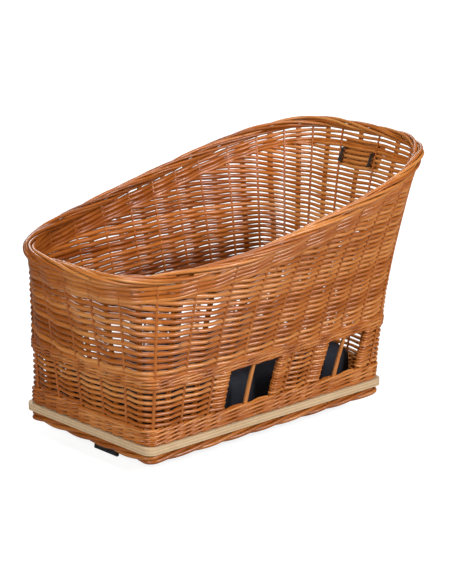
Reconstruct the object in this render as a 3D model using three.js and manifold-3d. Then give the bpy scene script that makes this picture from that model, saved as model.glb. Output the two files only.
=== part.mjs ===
// Dog basket for a bicycle's rear rack: willow walls woven on stakes that stand in a drilled plywood
// board, a twisted border round the sloping rim, two windows in each long side, a lift-out cushion,
// and under the board a moulded adapter whose sprung lever latches onto the rack's cross bars.
// Millimetres, +X towards the high back, +Z up. The origin is the middle of the adapter's underside.
import * as THREE from 'three';
import { mergeVertices } from 'three/addons/utils/BufferGeometryUtils.js';
import Module from 'manifold-3d';

const wasm = await Module();
wasm.setup();

// Clearances
const fitGap = 0.3;
const pivotGap = 0.5;

// How far a cut runs past the faces that it goes through
const cutPast = 1;

// Board
const boardLength = 486;
const boardWidth = 292;
const boardThickness = 11;
const boardCornerRadius = 16;

// Stakes, which stand on a line inside the board's edge
const stakeSetIn = 9;
const stakeCornerRadius = 12;
const stakeDiameter = 5.9;
const stakeSpacing = 24.8;
const windowStakeDiameter = 7.4;

// Walls
const wallingThickness = 7;
const wallingSwing = 1.9;
const wallingBulge = 0.5;
const stakeSwing = 1.7;
const columnHalfWidth = 3.6;
const waleThickness = 12;
const bottomWaleHeight = 25.5;
const windowHeight = 61;
const middleWaleHeight = 14;
const flareStraightShare = 0.55;
const flarePower = 2.4;
const stakeFan = 0.055;
const stakeFanPower = 1.6;

// Above the windows the stakes of the back and the far side lean the other way: pairs of a station
// and how far it has moved round at the rim
const upperLean = [
  [0, 0],
  [0.45, -0.015],
  [0.6, -0.03],
  [0.77, -0.025],
  [0.9, 0.05],
  [0.97, 0.08],
  [1.2, 0.085],
  [1.35, 0.1],
  [1.45, 0.075],
  [1.55, 0.055],
  [1.75, 0.03],
  [2, 0],
];

// Windows, measured along the stake line from the middle of the front
const windowFronts = [270, 463];
const windowStakes = [312, 497];
const windowRears = [358, 543];
const farWindowsForward = 36;
const edgeStakeSetBack = 7.5;
const stakesOverWindow = 3;

// Rim, whose heights are taken from the board's top
const rimLength = 622;
const rimWidth = 394;
const rimRearward = 40;
const rimWidening = 0.04;
const rimSquarenessAlong = 0.73;
const rimSquarenessAcross = 0.57;
const frontRimHeight = 246;
const sideRimHeight = 290.5;
const rearRimHeight = 360;
const rimSwell = 5.8;
const borderRodDiameter = 8.6;
const borderTwistRadius = 5.6;
const borderTurns = 10;

// Woven foot under the board
const footDrop = 9.5;
const footRodHalfHeight = 7;
const footRodHalfWidth = 4;
const footTurns = 12;

// Cushion
const cushionEndMargin = 22;
const cushionSideMargin = 21;
const cushionEdgeHeight = 40;
const cushionCrown = 9;
const cushionCornerRadius = 34;
const cushionDrawIn = 6;

// Rings of the cushion from its underside to its crown: set in from the outline by a share of its
// half width, and up from its foot by shares of the edge's height and of the crown
const cushionProfile = [
  { inset: 0.5, edge: 0, crown: 0, drawn: false },
  { inset: 0.072, edge: 0, crown: 0, drawn: true },
  { inset: 0.016, edge: 0.075, crown: 0, drawn: true },
  { inset: 0, edge: 0.3, crown: 0, drawn: true },
  { inset: 0, edge: 0.72, crown: 0, drawn: true },
  { inset: 0.016, edge: 0.925, crown: 0, drawn: true },
  { inset: 0.056, edge: 1, crown: 0, drawn: true },
  { inset: 0.21, edge: 1, crown: 0.55, drawn: true },
  { inset: 0.5, edge: 1, crown: 0.9, drawn: false },
  { inset: 0.8, edge: 1, crown: 1, drawn: false },
];

// Leather patch and its two laces on the back wall
const patchWidth = 86;
const patchHeight = 40;
const patchThickness = 2.5;
const patchSeat = 0.85;
const patchBelowRim = 42;
const laceSpacing = 66;
const laceWidth = 4.5;
const laceThickness = 2;
const laceReach = 20;

// Rack adapter
const adapterLength = 300;
const adapterWidth = 110;
const adapterHeight = 32;
const adapterFront = -184;
const adapterCornerRadius = 14;
const adapterEdgeBevel = 1.6;
const bossHeight = 10;
const bossDiameter = 24;
const barDiameter = 10;
const barClearance = 1;
const barHeight = 14;
const frontBarPlace = 26;
const rearHookDepth = 17;

// Release lever
const leverWidth = 52;
const leverReach = 32;
const leverArmThickness = 4;
const leverLipDepth = 10.5;
const leverPivotHeight = 20;
const leverPivotPlace = 12;
const leverPivotRadius = 5;
const leverLipLean = 1;
const leverRounding = 2;
const leverPinDiameter = 4;
const leverEarThickness = 6;
const leverEarReach = 8;
const leverRoofThickness = 4;
const clawThickness = 4;
const clawReach = 9;
const springDiameter = 9;
const springWire = 1.2;
const springTurns = 4;
const springPlace = 18;

// Screws
const screwDiameter = 6;
const screwHeadDiameter = 12;
const screwHeadHeight = 3.4;
const screwHeadRim = 0.4;
const screwPastNut = 1;
const screwFrontPlace = 52;
const screwRearPlace = 32;
const screwHalfSpread = 36;
const nutWidth = 10;
const nutHeight = 5;
const washerDiameter = 12;
const washerThickness = 1.4;
const nutPocketDepth = 9;

// Counts of facets, and the steps along the stations over which directions and slopes are taken
const wallStations = 64;
const wallLevels = 5;
const lowWallLevels = 1;
const borderStations = 75;
const borderSides = 6;
const footStations = 96;
const footSides = 6;
const cushionStations = 40;
const cornerSegments = 6;
const stakeSides = 6;
const windowStakeSides = 8;
const bossSides = 20;
const pocketSides = 16;
const holeSides = 12;
const nutSides = 6;
const springSides = 5;
const springStepsPerTurn = 8;
const rimSteps = 1440;
const directionStep = 0.004;
const slopeStep = 0.01;

// Levels and outlines worked out from the sizes above
const boardBottom = adapterHeight + bossHeight;
const boardTop = boardBottom + boardThickness;
const waleFoot = boardTop + fitGap;
const waleTop = waleFoot + bottomWaleHeight;
const windowTop = waleTop + windowHeight;
const middleWaleTop = windowTop + middleWaleHeight;
const borderRadius = borderTwistRadius + borderRodDiameter / 2;
const stakeHalfLength = boardLength / 2 - stakeSetIn;
const stakeHalfWidth = boardWidth / 2 - stakeSetIn;
const halfRound = 2 * (stakeHalfWidth + stakeHalfLength) - (4 - Math.PI) * stakeCornerRadius;
const cushionHalfLength = boardLength / 2 - cushionEndMargin;
const cushionHalfWidth = boardWidth / 2 - cushionSideMargin;

const willow = { color: 0xb56c36, roughness: 0.5, metalness: 0 };
const darkWillow = { color: 0x9c5a2c, roughness: 0.5, metalness: 0 };
const plywood = { color: 0xd9c099, roughness: 0.7, metalness: 0 };
const blackCloth = { color: 0x17181c, roughness: 0.9, metalness: 0 };
const blackPlastic = { color: 0x141414, roughness: 0.5, metalness: 0 };
const steel = { color: 0xb9bbbd, roughness: 0.35, metalness: 1 };
const leather = { color: 0x7a4422, roughness: 0.6, metalness: 0 };

const basket = new THREE.Group();

function addPiece(name, geometry, finish) {
  geometry.computeVertexNormals();
  const mesh = new THREE.Mesh(geometry, new THREE.MeshStandardMaterial(finish));
  mesh.name = name;
  basket.add(mesh);
  return mesh;
}

// Geometry from vertices and triangles, with its faces turned outwards
function closedGeometry(vertices, faces) {
  let volume = 0;
  for (const [a, b, c] of faces) {
    volume += vertices[a].dot(new THREE.Vector3().crossVectors(vertices[b], vertices[c]));
  }
  const outward = volume > 0 ? faces : faces.map(([a, b, c]) => [a, c, b]);
  const places = vertices.flatMap((v) => v.toArray());
  const geometry = new THREE.BufferGeometry();
  geometry.setAttribute('position', new THREE.Float32BufferAttribute(places, 3));
  geometry.setIndex(outward.flat());
  return geometry;
}

// Rings of points joined one after the other, closed on themselves or with a point at each end
function loft(rings, closed) {
  const sides = rings[0].length;
  const vertices = rings.flat();
  const faces = [];
  const spans = closed ? rings.length : rings.length - 1;
  for (let i = 0; i < spans; i++) {
    const here = i * sides;
    const next = ((i + 1) % rings.length) * sides;
    for (let j = 0; j < sides; j++) {
      const k = (j + 1) % sides;
      faces.push([here + j, next + j, next + k], [here + j, next + k, here + k]);
    }
  }
  if (!closed) {
    const last = (rings.length - 1) * sides;
    for (const [start, turn] of [[0, false], [last, true]]) {
      const ring = vertices.slice(start, start + sides);
      const centre = ring.reduce((sum, v) => sum.add(v), new THREE.Vector3()).divideScalar(sides);
      const hub = vertices.push(centre) - 1;
      for (let j = 0; j < sides; j++) {
        const k = (j + 1) % sides;
        faces.push(turn ? [hub, start + k, start + j] : [hub, start + j, start + k]);
      }
    }
  }
  return closedGeometry(vertices, faces);
}

function toSolid(geometry) {
  let bare = geometry.clone();
  bare.deleteAttribute('normal');
  bare.deleteAttribute('uv');
  bare = mergeVertices(bare, 1e-4);
  const mesh = new wasm.Mesh({
    numProp: 3,
    vertProperties: new Float32Array(bare.attributes.position.array),
    triVerts: new Uint32Array(bare.index.array),
  });
  return new wasm.Manifold(mesh);
}

function toGeometry(solid) {
  const mesh = solid.getMesh();
  const geometry = new THREE.BufferGeometry();
  geometry.setAttribute('position', new THREE.Float32BufferAttribute(mesh.vertProperties, 3));
  geometry.setIndex(Array.from(mesh.triVerts));
  return geometry;
}

// Upright prism with flat ends, from one height to another
function upright(x, y, low, high, radius, sides) {
  const geometry = new THREE.CylinderGeometry(radius, radius, high - low, sides);
  geometry.rotateX(Math.PI / 2);
  geometry.translate(x, y, (low + high) / 2);
  return geometry;
}

function block(xLow, xHigh, yLow, yHigh, zLow, zHigh) {
  const geometry = new THREE.BoxGeometry(xHigh - xLow, yHigh - yLow, zHigh - zLow);
  geometry.translate((xLow + xHigh) / 2, (yLow + yHigh) / 2, (zLow + zHigh) / 2);
  return geometry;
}

function roundedRectangle(length, width, radius) {
  const x = length / 2;
  const y = width / 2;
  const shape = new THREE.Shape();
  shape.moveTo(-x + radius, -y);
  shape.lineTo(x - radius, -y);
  shape.absarc(x - radius, -y + radius, radius, -Math.PI / 2, 0, false);
  shape.lineTo(x, y - radius);
  shape.absarc(x - radius, y - radius, radius, 0, Math.PI / 2, false);
  shape.lineTo(-x + radius, y);
  shape.absarc(-x + radius, y - radius, radius, Math.PI / 2, Math.PI, false);
  shape.lineTo(-x, -y + radius);
  shape.absarc(-x + radius, -y + radius, radius, Math.PI, 1.5 * Math.PI, false);
  return shape;
}

// A point on the stake line of the board, at a share of the half round from the middle of the front
// to the middle of the back, along the near side
function stakeLine(share) {
  const along = share * halfRound;
  const front = stakeHalfWidth - stakeCornerRadius;
  const arc = stakeCornerRadius * Math.PI / 2;
  const side = 2 * (stakeHalfLength - stakeCornerRadius);
  if (along < front) {
    return [-stakeHalfLength, -along];
  }
  if (along < front + arc) {
    const turn = (along - front) / stakeCornerRadius;
    return [
      -stakeHalfLength + stakeCornerRadius * (1 - Math.cos(turn)),
      -front - stakeCornerRadius * Math.sin(turn),
    ];
  }
  if (along < front + arc + side) {
    return [-stakeHalfLength + stakeCornerRadius + along - front - arc, -stakeHalfWidth];
  }
  if (along < front + 2 * arc + side) {
    const turn = (along - front - arc - side) / stakeCornerRadius;
    return [
      stakeHalfLength - stakeCornerRadius * (1 - Math.sin(turn)),
      -front - stakeCornerRadius * Math.cos(turn),
    ];
  }
  return [stakeHalfLength, along - halfRound];
}

// The rim is an oval that widens and climbs towards the back
function rimAtAngle(angle) {
  const c = Math.cos(angle);
  const s = Math.sin(angle);
  const u = -Math.sign(c) * Math.abs(c) ** rimSquarenessAlong;
  const across = rimWidth / 2 * (1 + rimWidening * u) * Math.abs(s) ** rimSquarenessAcross;
  const climb = (rearRimHeight - frontRimHeight) / 2;
  const bow = (rearRimHeight + frontRimHeight) / 2 - sideRimHeight;
  const height = boardTop + sideRimHeight + climb * u + bow * u * u + rimSwell * (u - u ** 3);
  return new THREE.Vector3(rimRearward + rimLength / 2 * u, -across, height);
}

// Running length of the rim against the angle, so that stakes can be shared out evenly along it
const rimRun = [0];
for (let i = 1; i <= rimSteps; i++) {
  const a = rimAtAngle(Math.PI * (i - 1) / rimSteps);
  const b = rimAtAngle(Math.PI * i / rimSteps);
  rimRun.push(rimRun[i - 1] + Math.hypot(b.x - a.x, b.y - a.y));
}

function rimLine(share) {
  const wanted = share * rimRun[rimSteps];
  let low = 0;
  let high = rimSteps;
  while (high - low > 1) {
    const middle = (low + high) >> 1;
    if (rimRun[middle] > wanted) {
      high = middle;
    } else {
      low = middle;
    }
  }
  const part = (wanted - rimRun[low]) / (rimRun[high] - rimRun[low]);
  return rimAtAngle(Math.PI * (low + part) / rimSteps);
}

// Stations run from 0 at the middle of the front, along the near side, to 1 at the middle of the
// back, and along the far side to 2
function stationShare(station) {
  const turn = ((station % 2) + 2) % 2;
  return turn > 1 ? { share: 2 - turn, side: -1 } : { share: turn, side: 1 };
}

function sectionPoint(station, rise) {
  const { share, side } = stationShare(station);
  const [footX, footY] = stakeLine(share);
  const rim = rimLine(share);
  const flare = flareStraightShare * rise + (1 - flareStraightShare) * rise ** flarePower;
  return [footX + (rim.x - footX) * flare, side * (footY + (rim.y - footY) * flare)];
}

// Stakes fan towards the back as they rise: how far a station has moved at the rim
function fanAt(station) {
  const { share, side } = stationShare(station);
  return side * stakeFan * Math.sin(Math.PI * share ** stakeFanPower) ** 2;
}

// What the upper lean adds to that
function leanAt(station) {
  const turn = ((station % 2) + 2) % 2;
  const i = Math.max(1, upperLean.findIndex(([place]) => place >= turn));
  const [[from, low], [to, high]] = [upperLean[i - 1], upperLean[i]];
  return low + (high - low) * (turn - from) / (to - from);
}

// A point of the wall's middle surface right above its station, moved outwards by a distance
function surfacePoint(station, height, outward) {
  const rim = rimLine(stationShare(station).share).z;
  const rise = Math.max((height - boardTop) / (rim - boardTop), 0);
  const [x, y] = sectionPoint(station, rise);
  const [xAhead, yAhead] = sectionPoint(station + directionStep, rise);
  const [xBehind, yBehind] = sectionPoint(station - directionStep, rise);
  const length = Math.hypot(xAhead - xBehind, yAhead - yBehind);
  return new THREE.Vector3(
    x + outward * (yAhead - yBehind) / length,
    y - outward * (xAhead - xBehind) / length,
    height,
  );
}

// The same for a station that follows its stake
function wallPoint(station, height, outward) {
  const rim = rimLine(stationShare(station).share).z;
  const early = (height - boardTop) / (rim - boardTop);
  const late = Math.max((height - middleWaleTop) / (rim - middleWaleTop), 0);
  const moved = station + fanAt(station) * early + leanAt(station) * late;
  return surfacePoint(moved, height, outward);
}

// Height of the wall's top edge, just under the border rods
function wallTop(station) {
  const here = station + fanAt(station) + leanAt(station);
  const rimAt = (place) => {
    const { share, side } = stationShare(place);
    const { x, y, z } = rimLine(share);
    return new THREE.Vector3(x, side * y, z);
  };
  const along = rimAt(here + slopeStep).sub(rimAt(here - slopeStep));
  const slope = along.z / Math.hypot(along.x, along.y);
  return rimAt(here).z - (borderRadius + fitGap) * Math.hypot(1, slope);
}

// Stations that keep the board's corners round, within a stretch of wall
function cornerStations(from, to, margin) {
  const cornerStart = (stakeHalfWidth - stakeCornerRadius) / halfRound;
  const cornerLength = stakeCornerRadius * Math.PI / 2 / halfRound;
  const list = [];
  for (const corner of [cornerStart, 1 - cornerStart - cornerLength]) {
    for (const part of [0, 0.5, 1]) {
      const place = corner + part * cornerLength;
      list.push(place, 2 - place, place + 2, -place);
    }
  }
  return list.filter((place) => place > from + margin && place < to - margin);
}

// Stations of a stretch of wall, with extra ones round the board's corners
function stationsBetween(from, to) {
  const count = Math.max(1, Math.round((to - from) * wallStations / 2));
  const even = [];
  for (let i = 0; i <= count; i++) {
    even.push(from + (to - from) * i / count);
  }
  const nearest = 1 / (2 * wallStations);
  const added = cornerStations(from, to, nearest);
  const isEnd = (i) => i === 0 || i === count;
  const kept = even.filter((p, i) => isEnd(i) || added.every((q) => Math.abs(p - q) > nearest));
  return [...kept, ...added].sort((a, b) => a - b);
}

// A stretch of wall between two stations, two heights and two distances from the middle surface
function wallGeometry(from, to, lowAt, highAt, inner, outer, levels, pointAt = wallPoint) {
  const closed = to - from >= 2;
  const places = stationsBetween(from, to).map((station) => ({ station, inner, outer }));
  if (closed) {
    places.pop();
  }
  return sheetGeometry(places, lowAt, highAt, levels, closed, pointAt);
}

// A sheet between two heights that follows places, each a station with its inner and outer face
function sheetGeometry(places, lowAt, highAt, levels, closed, pointAt) {
  const vertices = [];
  for (const { station, inner, outer } of places) {
    for (let j = 0; j <= levels; j++) {
      const height = lowAt(station) + (highAt(station) - lowAt(station)) * j / levels;
      vertices.push(pointAt(station, height, outer), pointAt(station, height, inner));
    }
  }
  const column = 2 * (levels + 1);
  const faces = [];
  const quad = (a, b, c, d) => faces.push([a, b, c], [a, c, d]);
  const spans = closed ? places.length : places.length - 1;
  for (let i = 0; i < spans; i++) {
    const here = i * column;
    const next = ((i + 1) % places.length) * column;
    for (let j = 0; j < levels; j++) {
      const low = 2 * j;
      const high = 2 * j + 2;
      quad(here + low, next + low, next + high, here + high);
      quad(here + high + 1, next + high + 1, next + low + 1, here + low + 1);
    }
    const top = 2 * levels;
    quad(here + top, next + top, next + top + 1, here + top + 1);
    quad(here + 1, next + 1, next, here);
  }
  if (!closed) {
    const last = (places.length - 1) * column;
    for (let j = 0; j < levels; j++) {
      const low = 2 * j;
      const high = 2 * j + 2;
      quad(low + 1, low, high, high + 1);
      quad(last + high + 1, last + high, last + low, last + low + 1);
    }
  }
  return closedGeometry(vertices, faces);
}

const level = (height) => () => height;
const stationAt = (along) => along / halfRound;
const halfWale = waleThickness / 2;
const stakeRadius = stakeDiameter / 2;

// Where the windows of one side begin, have their stake and end: the far ones are further forward
function windowsOf(side) {
  const forward = side > 0 ? 0 : farWindowsForward;
  return windowFronts.map((front, i) => ({
    front: front - forward,
    stake: windowStakes[i] - forward,
    rear: windowRears[i] - forward,
  }));
}

// Even places between two others, a half space short of the middle of the front or the back
function placesBetween(from, to) {
  const count = Math.max(1, Math.round((to - from) / stakeSpacing));
  const atFront = from === 0;
  const atRear = to === halfRound;
  const pitch = (to - from) / (count - (atFront || atRear ? 0.5 : 0));
  const start = atFront ? to - pitch * count : from;
  const places = [];
  for (let i = 1; i < count; i++) {
    places.push(start + pitch * i);
  }
  return places;
}

// Places of one side's stakes, under the middle wale or above it, where more stand over a window
function stakePlaces(side, above) {
  const places = [];
  let from = 0;
  for (const { front, stake, rear } of windowsOf(side)) {
    const first = front - edgeStakeSetBack;
    const last = rear + edgeStakeSetBack;
    places.push(...placesBetween(from, first), first);
    if (above) {
      for (let i = 1; i <= stakesOverWindow; i++) {
        places.push(first + (last - first) * i / (stakesOverWindow + 1));
      }
    } else {
      places.push(stake);
    }
    places.push(last);
    from = last;
  }
  return [...places, ...placesBetween(from, halfRound)];
}

function stakeStations(above) {
  const near = stakePlaces(1, above).map(stationAt);
  const far = stakePlaces(-1, above).map((place) => 2 - stationAt(place)).reverse();
  return [...near, ...far];
}

// Faces of the walling at each stake: its rods pass outside even stakes and inside odd ones
function facesAtStakes(above) {
  const places = [];
  stakeStations(above).forEach((station, i) => {
    const out = i % 2 === 0 ? 1 : -1;
    for (const part of [-1, 0, 1]) {
      const onStake = part === 0;
      const front = wallingSwing + wallingThickness / 2 + (onStake ? wallingBulge : 0);
      const back = onStake ? -stakeSwing - stakeRadius : wallingSwing - wallingThickness / 2;
      places.push({
        station: station + part * stationAt(columnHalfWidth),
        inner: Math.min(out * front, out * back),
        outer: Math.max(out * front, out * back),
      });
    }
  });
  const turned = (turn) => places.map((place) => ({ ...place, station: place.station + turn }));
  return [...turned(-2), ...places, ...turned(2)];
}

// A stretch of walling, with its columns at the stakes
function wallingGeometry(from, to, lowAt, highAt, above, levels) {
  const known = facesAtStakes(above);
  const between = (station) => {
    const i = known.findIndex((place) => place.station > station);
    const [before, after] = [known[i - 1], known[i]];
    const share = (station - before.station) / (after.station - before.station);
    return {
      station,
      inner: before.inner + (after.inner - before.inner) * share,
      outer: before.outer + (after.outer - before.outer) * share,
    };
  };
  const margin = stationAt(columnHalfWidth) / 2;
  const kept = known.filter(({ station }) => station > from + margin && station < to - margin);
  const added = cornerStations(from, to, margin)
    .filter((corner) => kept.every(({ station }) => Math.abs(station - corner) > margin))
    .map(between);
  const places = [between(from), ...kept, ...added, between(to)];
  places.sort((a, b) => a.station - b.station);
  return sheetGeometry(places, lowAt, highAt, levels, false, wallPoint);
}

// Board with a hole for each stake and a countersunk hole for each screw
function makeBoard() {
  const outline = roundedRectangle(boardLength, boardWidth, boardCornerRadius);
  const plate = new THREE.ExtrudeGeometry(outline, {
    depth: boardThickness,
    bevelEnabled: false,
    curveSegments: cornerSegments,
  });
  plate.translate(0, 0, boardBottom);
  let solid = toSolid(plate);
  const low = boardBottom - cutPast;
  const high = boardTop + cutPast;
  const holeRadius = stakeRadius + fitGap / Math.cos(Math.PI / stakeSides);
  for (const station of stakeStations(false)) {
    const foot = wallPoint(station, boardTop, 0);
    solid = solid.subtract(toSolid(upright(foot.x, foot.y, low, high, holeRadius, stakeSides)));
  }
  for (const { x, y } of screwPositions()) {
    const cut = screwProfile(low, boardTop - fitGap, fitGap, high);
    solid = solid.subtract(turnedAt(cut, x, y));
  }
  return toGeometry(solid);
}

// Twisted willow foot under the board, with the stake ends that it is woven on
function makeFoot() {
  const rings = [];
  const centreHeight = boardBottom - footDrop;
  for (let i = 0; i < footStations; i++) {
    const station = 2 * i / footStations;
    const twist = 2 * Math.PI * footTurns * i / footStations;
    const ring = [];
    for (let j = 0; j < footSides; j++) {
      const angle = 2 * Math.PI * j / footSides;
      const u = footRodHalfHeight * Math.cos(angle);
      const v = footRodHalfWidth * Math.sin(angle);
      const out = u * Math.cos(twist) - v * Math.sin(twist);
      const up = u * Math.sin(twist) + v * Math.cos(twist);
      const point = wallPoint(station, boardTop, out);
      ring.push(new THREE.Vector3(point.x, point.y, centreHeight + up));
    }
    rings.push(ring);
  }
  let solid = toSolid(loft(rings, true));
  for (const station of stakeStations(false)) {
    const foot = wallPoint(station, boardTop, 0);
    const peg = upright(foot.x, foot.y, centreHeight - cutPast, boardTop, stakeRadius, stakeSides);
    solid = solid.add(toSolid(peg));
  }
  return toGeometry(solid);
}

// Border rods wind round the rim line and round each other
function makeBorderRod(phase) {
  const rings = [];
  const radius = borderRodDiameter / 2;
  for (let i = 0; i < borderStations; i++) {
    const share = 2 * i / borderStations;
    const at = (s) => {
      const { share: part, side } = stationShare(s);
      const point = rimLine(part);
      return new THREE.Vector3(point.x, side * point.y, point.z);
    };
    const tangent = at(share + directionStep).sub(at(share - directionStep)).normalize();
    const across = new THREE.Vector3(tangent.y, -tangent.x, 0).normalize();
    const up = new THREE.Vector3().crossVectors(tangent, across).negate();
    const angle = phase + 2 * Math.PI * borderTurns * i / borderStations;
    const centre = at(share)
      .addScaledVector(across, borderTwistRadius * Math.cos(angle))
      .addScaledVector(up, borderTwistRadius * Math.sin(angle));
    const ring = [];
    for (let j = 0; j < borderSides; j++) {
      const turn = angle + 2 * Math.PI * (j + 0.5) / borderSides;
      ring.push(centre.clone()
        .addScaledVector(across, radius * Math.cos(turn))
        .addScaledVector(up, radius * Math.sin(turn)));
    }
    rings.push(ring);
  }
  return loft(rings, true);
}

// A stake that stands alone in the middle of a window
function makeWindowStake(station) {
  const rings = [];
  const low = waleTop + fitGap;
  const high = windowTop - fitGap;
  for (const height of [low, (low + high) / 2, high]) {
    const centre = wallPoint(station, height, 0);
    const ring = [];
    for (let j = 0; j < windowStakeSides; j++) {
      const angle = 2 * Math.PI * j / windowStakeSides;
      ring.push(new THREE.Vector3(
        centre.x + windowStakeDiameter / 2 * Math.cos(angle),
        centre.y + windowStakeDiameter / 2 * Math.sin(angle),
        height,
      ));
    }
    rings.push(ring);
  }
  return loft(rings, false);
}

// Outline of the cushion, set in all round and drawn in along its sides between the corners
function cushionRing(inset, height, drawIn) {
  const ring = [];
  const power = cushionCornerRadius / cushionHalfWidth;
  const grow = (c) => Math.sign(c) * Math.abs(c) ** power;
  for (let i = 0; i < cushionStations; i++) {
    const angle = 2 * Math.PI * (i + 0.5) / cushionStations;
    const x = (cushionHalfLength - inset) * grow(Math.cos(angle));
    const y = (cushionHalfWidth - inset) * grow(Math.sin(angle));
    const corner = Math.min(Math.abs(x) / cushionHalfLength, Math.abs(y) / cushionHalfWidth);
    const pull = 1 - drawIn * (1 - corner ** 2) / cushionHalfWidth;
    ring.push(new THREE.Vector3(x * pull, y * pull, height));
  }
  return ring;
}

function makeCushion() {
  const low = boardTop + fitGap;
  const rings = cushionProfile.map(({ inset, edge, crown, drawn }) => {
    const height = low + cushionEdgeHeight * edge + cushionCrown * crown;
    return cushionRing(inset * cushionHalfWidth, height, drawn ? cushionDrawIn : 0);
  });
  return loft(rings, false);
}

// Stations and heights of the patch and its laces, which lie across the middle of the back
const backRim = rimLine(1).z;
const patchMiddle = backRim - patchBelowRim;
const shareOfWidth = (width) => width / 2 / rimRun[rimSteps];
const patchFace = wallingSwing + wallingThickness / 2 + wallingBulge + patchSeat;
const laceOutside = patchFace + patchThickness + fitGap;

// A sheet along the wall whose ends stand plumb, whatever way the stakes lean
function plumbSheet(from, to, lowAt, highAt, inner, outer, levels) {
  return wallGeometry(from, to, lowAt, highAt, inner, outer, levels, surfacePoint);
}

function makePatch() {
  const reach = shareOfWidth(patchWidth);
  const low = level(patchMiddle - patchHeight / 2);
  const high = level(patchMiddle + patchHeight / 2);
  const outer = patchFace + patchThickness;
  let solid = toSolid(plumbSheet(1 - reach, 1 + reach, low, high, patchFace, outer, 2));
  for (const slot of laceLegs(fitGap)) {
    solid = solid.subtract(toSolid(slot));
  }
  return toGeometry(solid);
}

// The two legs of each lace, which pass through the wall and the patch, grown by a clearance
function laceLegs(grow) {
  const legs = [];
  for (const side of [-1, 1]) {
    for (const end of [-1, 1]) {
      legs.push(laceLeg(side, end, grow));
    }
  }
  return legs;
}

function laceLeg(side, end, grow) {
  const [from, to] = laceStations(side, grow);
  const height = patchMiddle + end * (laceReach - laceThickness) / 2;
  const half = laceThickness / 2 + grow;
  const deep = laceOutside + laceThickness / 2 + grow;
  return plumbSheet(from, to, level(height - half), level(height + half), -deep, deep, 1);
}

function laceStations(side, grow) {
  const middle = 1 + side * shareOfWidth(laceSpacing);
  const reach = shareOfWidth(laceWidth + 2 * grow);
  return [middle - reach, middle + reach];
}

// A lace is a closed loop: a strap inside the wall, one over the patch and the two legs between
function makeLace(side) {
  const [from, to] = laceStations(side, 0);
  const low = level(patchMiddle - laceReach / 2);
  const high = level(patchMiddle + laceReach / 2);
  const strap = (inner) => plumbSheet(from, to, low, high, inner, inner + laceThickness, 2);
  const parts = [strap(-patchFace - laceThickness), strap(laceOutside)];
  for (const end of [-1, 1]) {
    parts.push(laceLeg(side, end, 0));
  }
  return toGeometry(parts.map(toSolid).reduce((sum, part) => sum.add(part)));
}

// A quarter of the walling above the windows, with the slots for the laces
function makeUpperSiding(from, to) {
  const low = level(middleWaleTop + fitGap);
  const seam = stationAt(fitGap);
  let solid = toSolid(wallingGeometry(from + seam, to - seam, low, wallTop, true, wallLevels));
  for (const slot of laceLegs(fitGap)) {
    solid = solid.subtract(toSolid(slot));
  }
  return toGeometry(solid);
}

function screwPositions() {
  const places = [adapterFront + screwFrontPlace, adapterFront + adapterLength - screwRearPlace];
  return places.flatMap((x) => [-1, 1].map((side) => ({ x, y: side * screwHalfSpread })));
}

// Places on the adapter that the lever, the bars and the hooks share
const pivotX = adapterFront + leverPivotPlace;
const pivotZ = leverPivotHeight;
const barWidth = barDiameter + 2 * barClearance;
const frontBarX = adapterFront + frontBarPlace;
const barTop = barHeight + barDiameter / 2 + barClearance / 2;
const barBottom = barHeight - barDiameter / 2;
const adapterRear = adapterFront + adapterLength;
const bayHalfWidth = leverWidth / 2 + pivotGap;
const noseHalfWidth = bayHalfWidth + leverEarThickness;
const noseFront = pivotX - leverReach + leverArmThickness;
const roofBottom = adapterHeight - leverRoofThickness;
const armTop = pivotZ - leverPivotRadius;
const armBottom = armTop - leverArmThickness;
const nutRadius = nutWidth / 2 / Math.cos(Math.PI / nutSides);
const washerLow = nutPocketDepth - fitGap - washerThickness;
const nutLow = washerLow - fitGap - nutHeight;

function makeAdapter() {
  const outline = roundedRectangle(adapterLength, adapterWidth, adapterCornerRadius);
  const slab = new THREE.ExtrudeGeometry(outline, {
    depth: adapterHeight - 2 * adapterEdgeBevel,
    bevelThickness: adapterEdgeBevel,
    bevelSize: adapterEdgeBevel,
    bevelOffset: -adapterEdgeBevel,
    bevelSegments: 1,
    curveSegments: cornerSegments,
  });
  slab.translate(adapterFront + adapterLength / 2, 0, adapterEdgeBevel);
  const joined = adapterFront + adapterCornerRadius;
  const half = noseHalfWidth;
  const additions = [block(noseFront, joined, -half, half, roofBottom, adapterHeight)];
  for (const low of [-half, bayHalfWidth]) {
    const high = low + leverEarThickness;
    const front = pivotX - leverEarReach;
    additions.push(block(front, joined, low, high, pivotZ - leverEarReach, roofBottom + cutPast));
  }
  for (const { x, y } of screwPositions()) {
    const low = adapterHeight - cutPast;
    additions.push(upright(x, y, low, boardBottom - fitGap, bossDiameter / 2, bossSides));
  }
  const bayRear = frontBarX + barWidth / 2;
  const barFront = frontBarX - barWidth / 2;
  const hookFront = adapterRear - rearHookDepth;
  const wide = adapterWidth;
  const cuts = [
    block(noseFront - cutPast, bayRear, -bayHalfWidth, bayHalfWidth, -cutPast, roofBottom),
    block(barFront, bayRear, -wide, wide, -cutPast, barTop),
    block(hookFront, adapterRear + cutPast, -wide, wide, barBottom - barClearance / 2, barTop),
    alongY(pivotX, pivotZ, leverPinDiameter / 2 + fitGap, wide, holeSides),
  ];
  const pocket = Math.max(nutRadius, washerDiameter / 2) + 2 * fitGap;
  const shaft = screwDiameter / 2 + fitGap;
  for (const { x, y } of screwPositions()) {
    cuts.push(upright(x, y, -cutPast, boardBottom + cutPast, shaft, holeSides));
    cuts.push(upright(x, y, -cutPast, nutPocketDepth, pocket, pocketSides));
  }
  let solid = toSolid(slab);
  for (const addition of additions) {
    solid = solid.add(toSolid(addition));
  }
  for (const cut of cuts) {
    solid = solid.subtract(toSolid(cut));
  }
  return toGeometry(solid);
}

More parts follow.
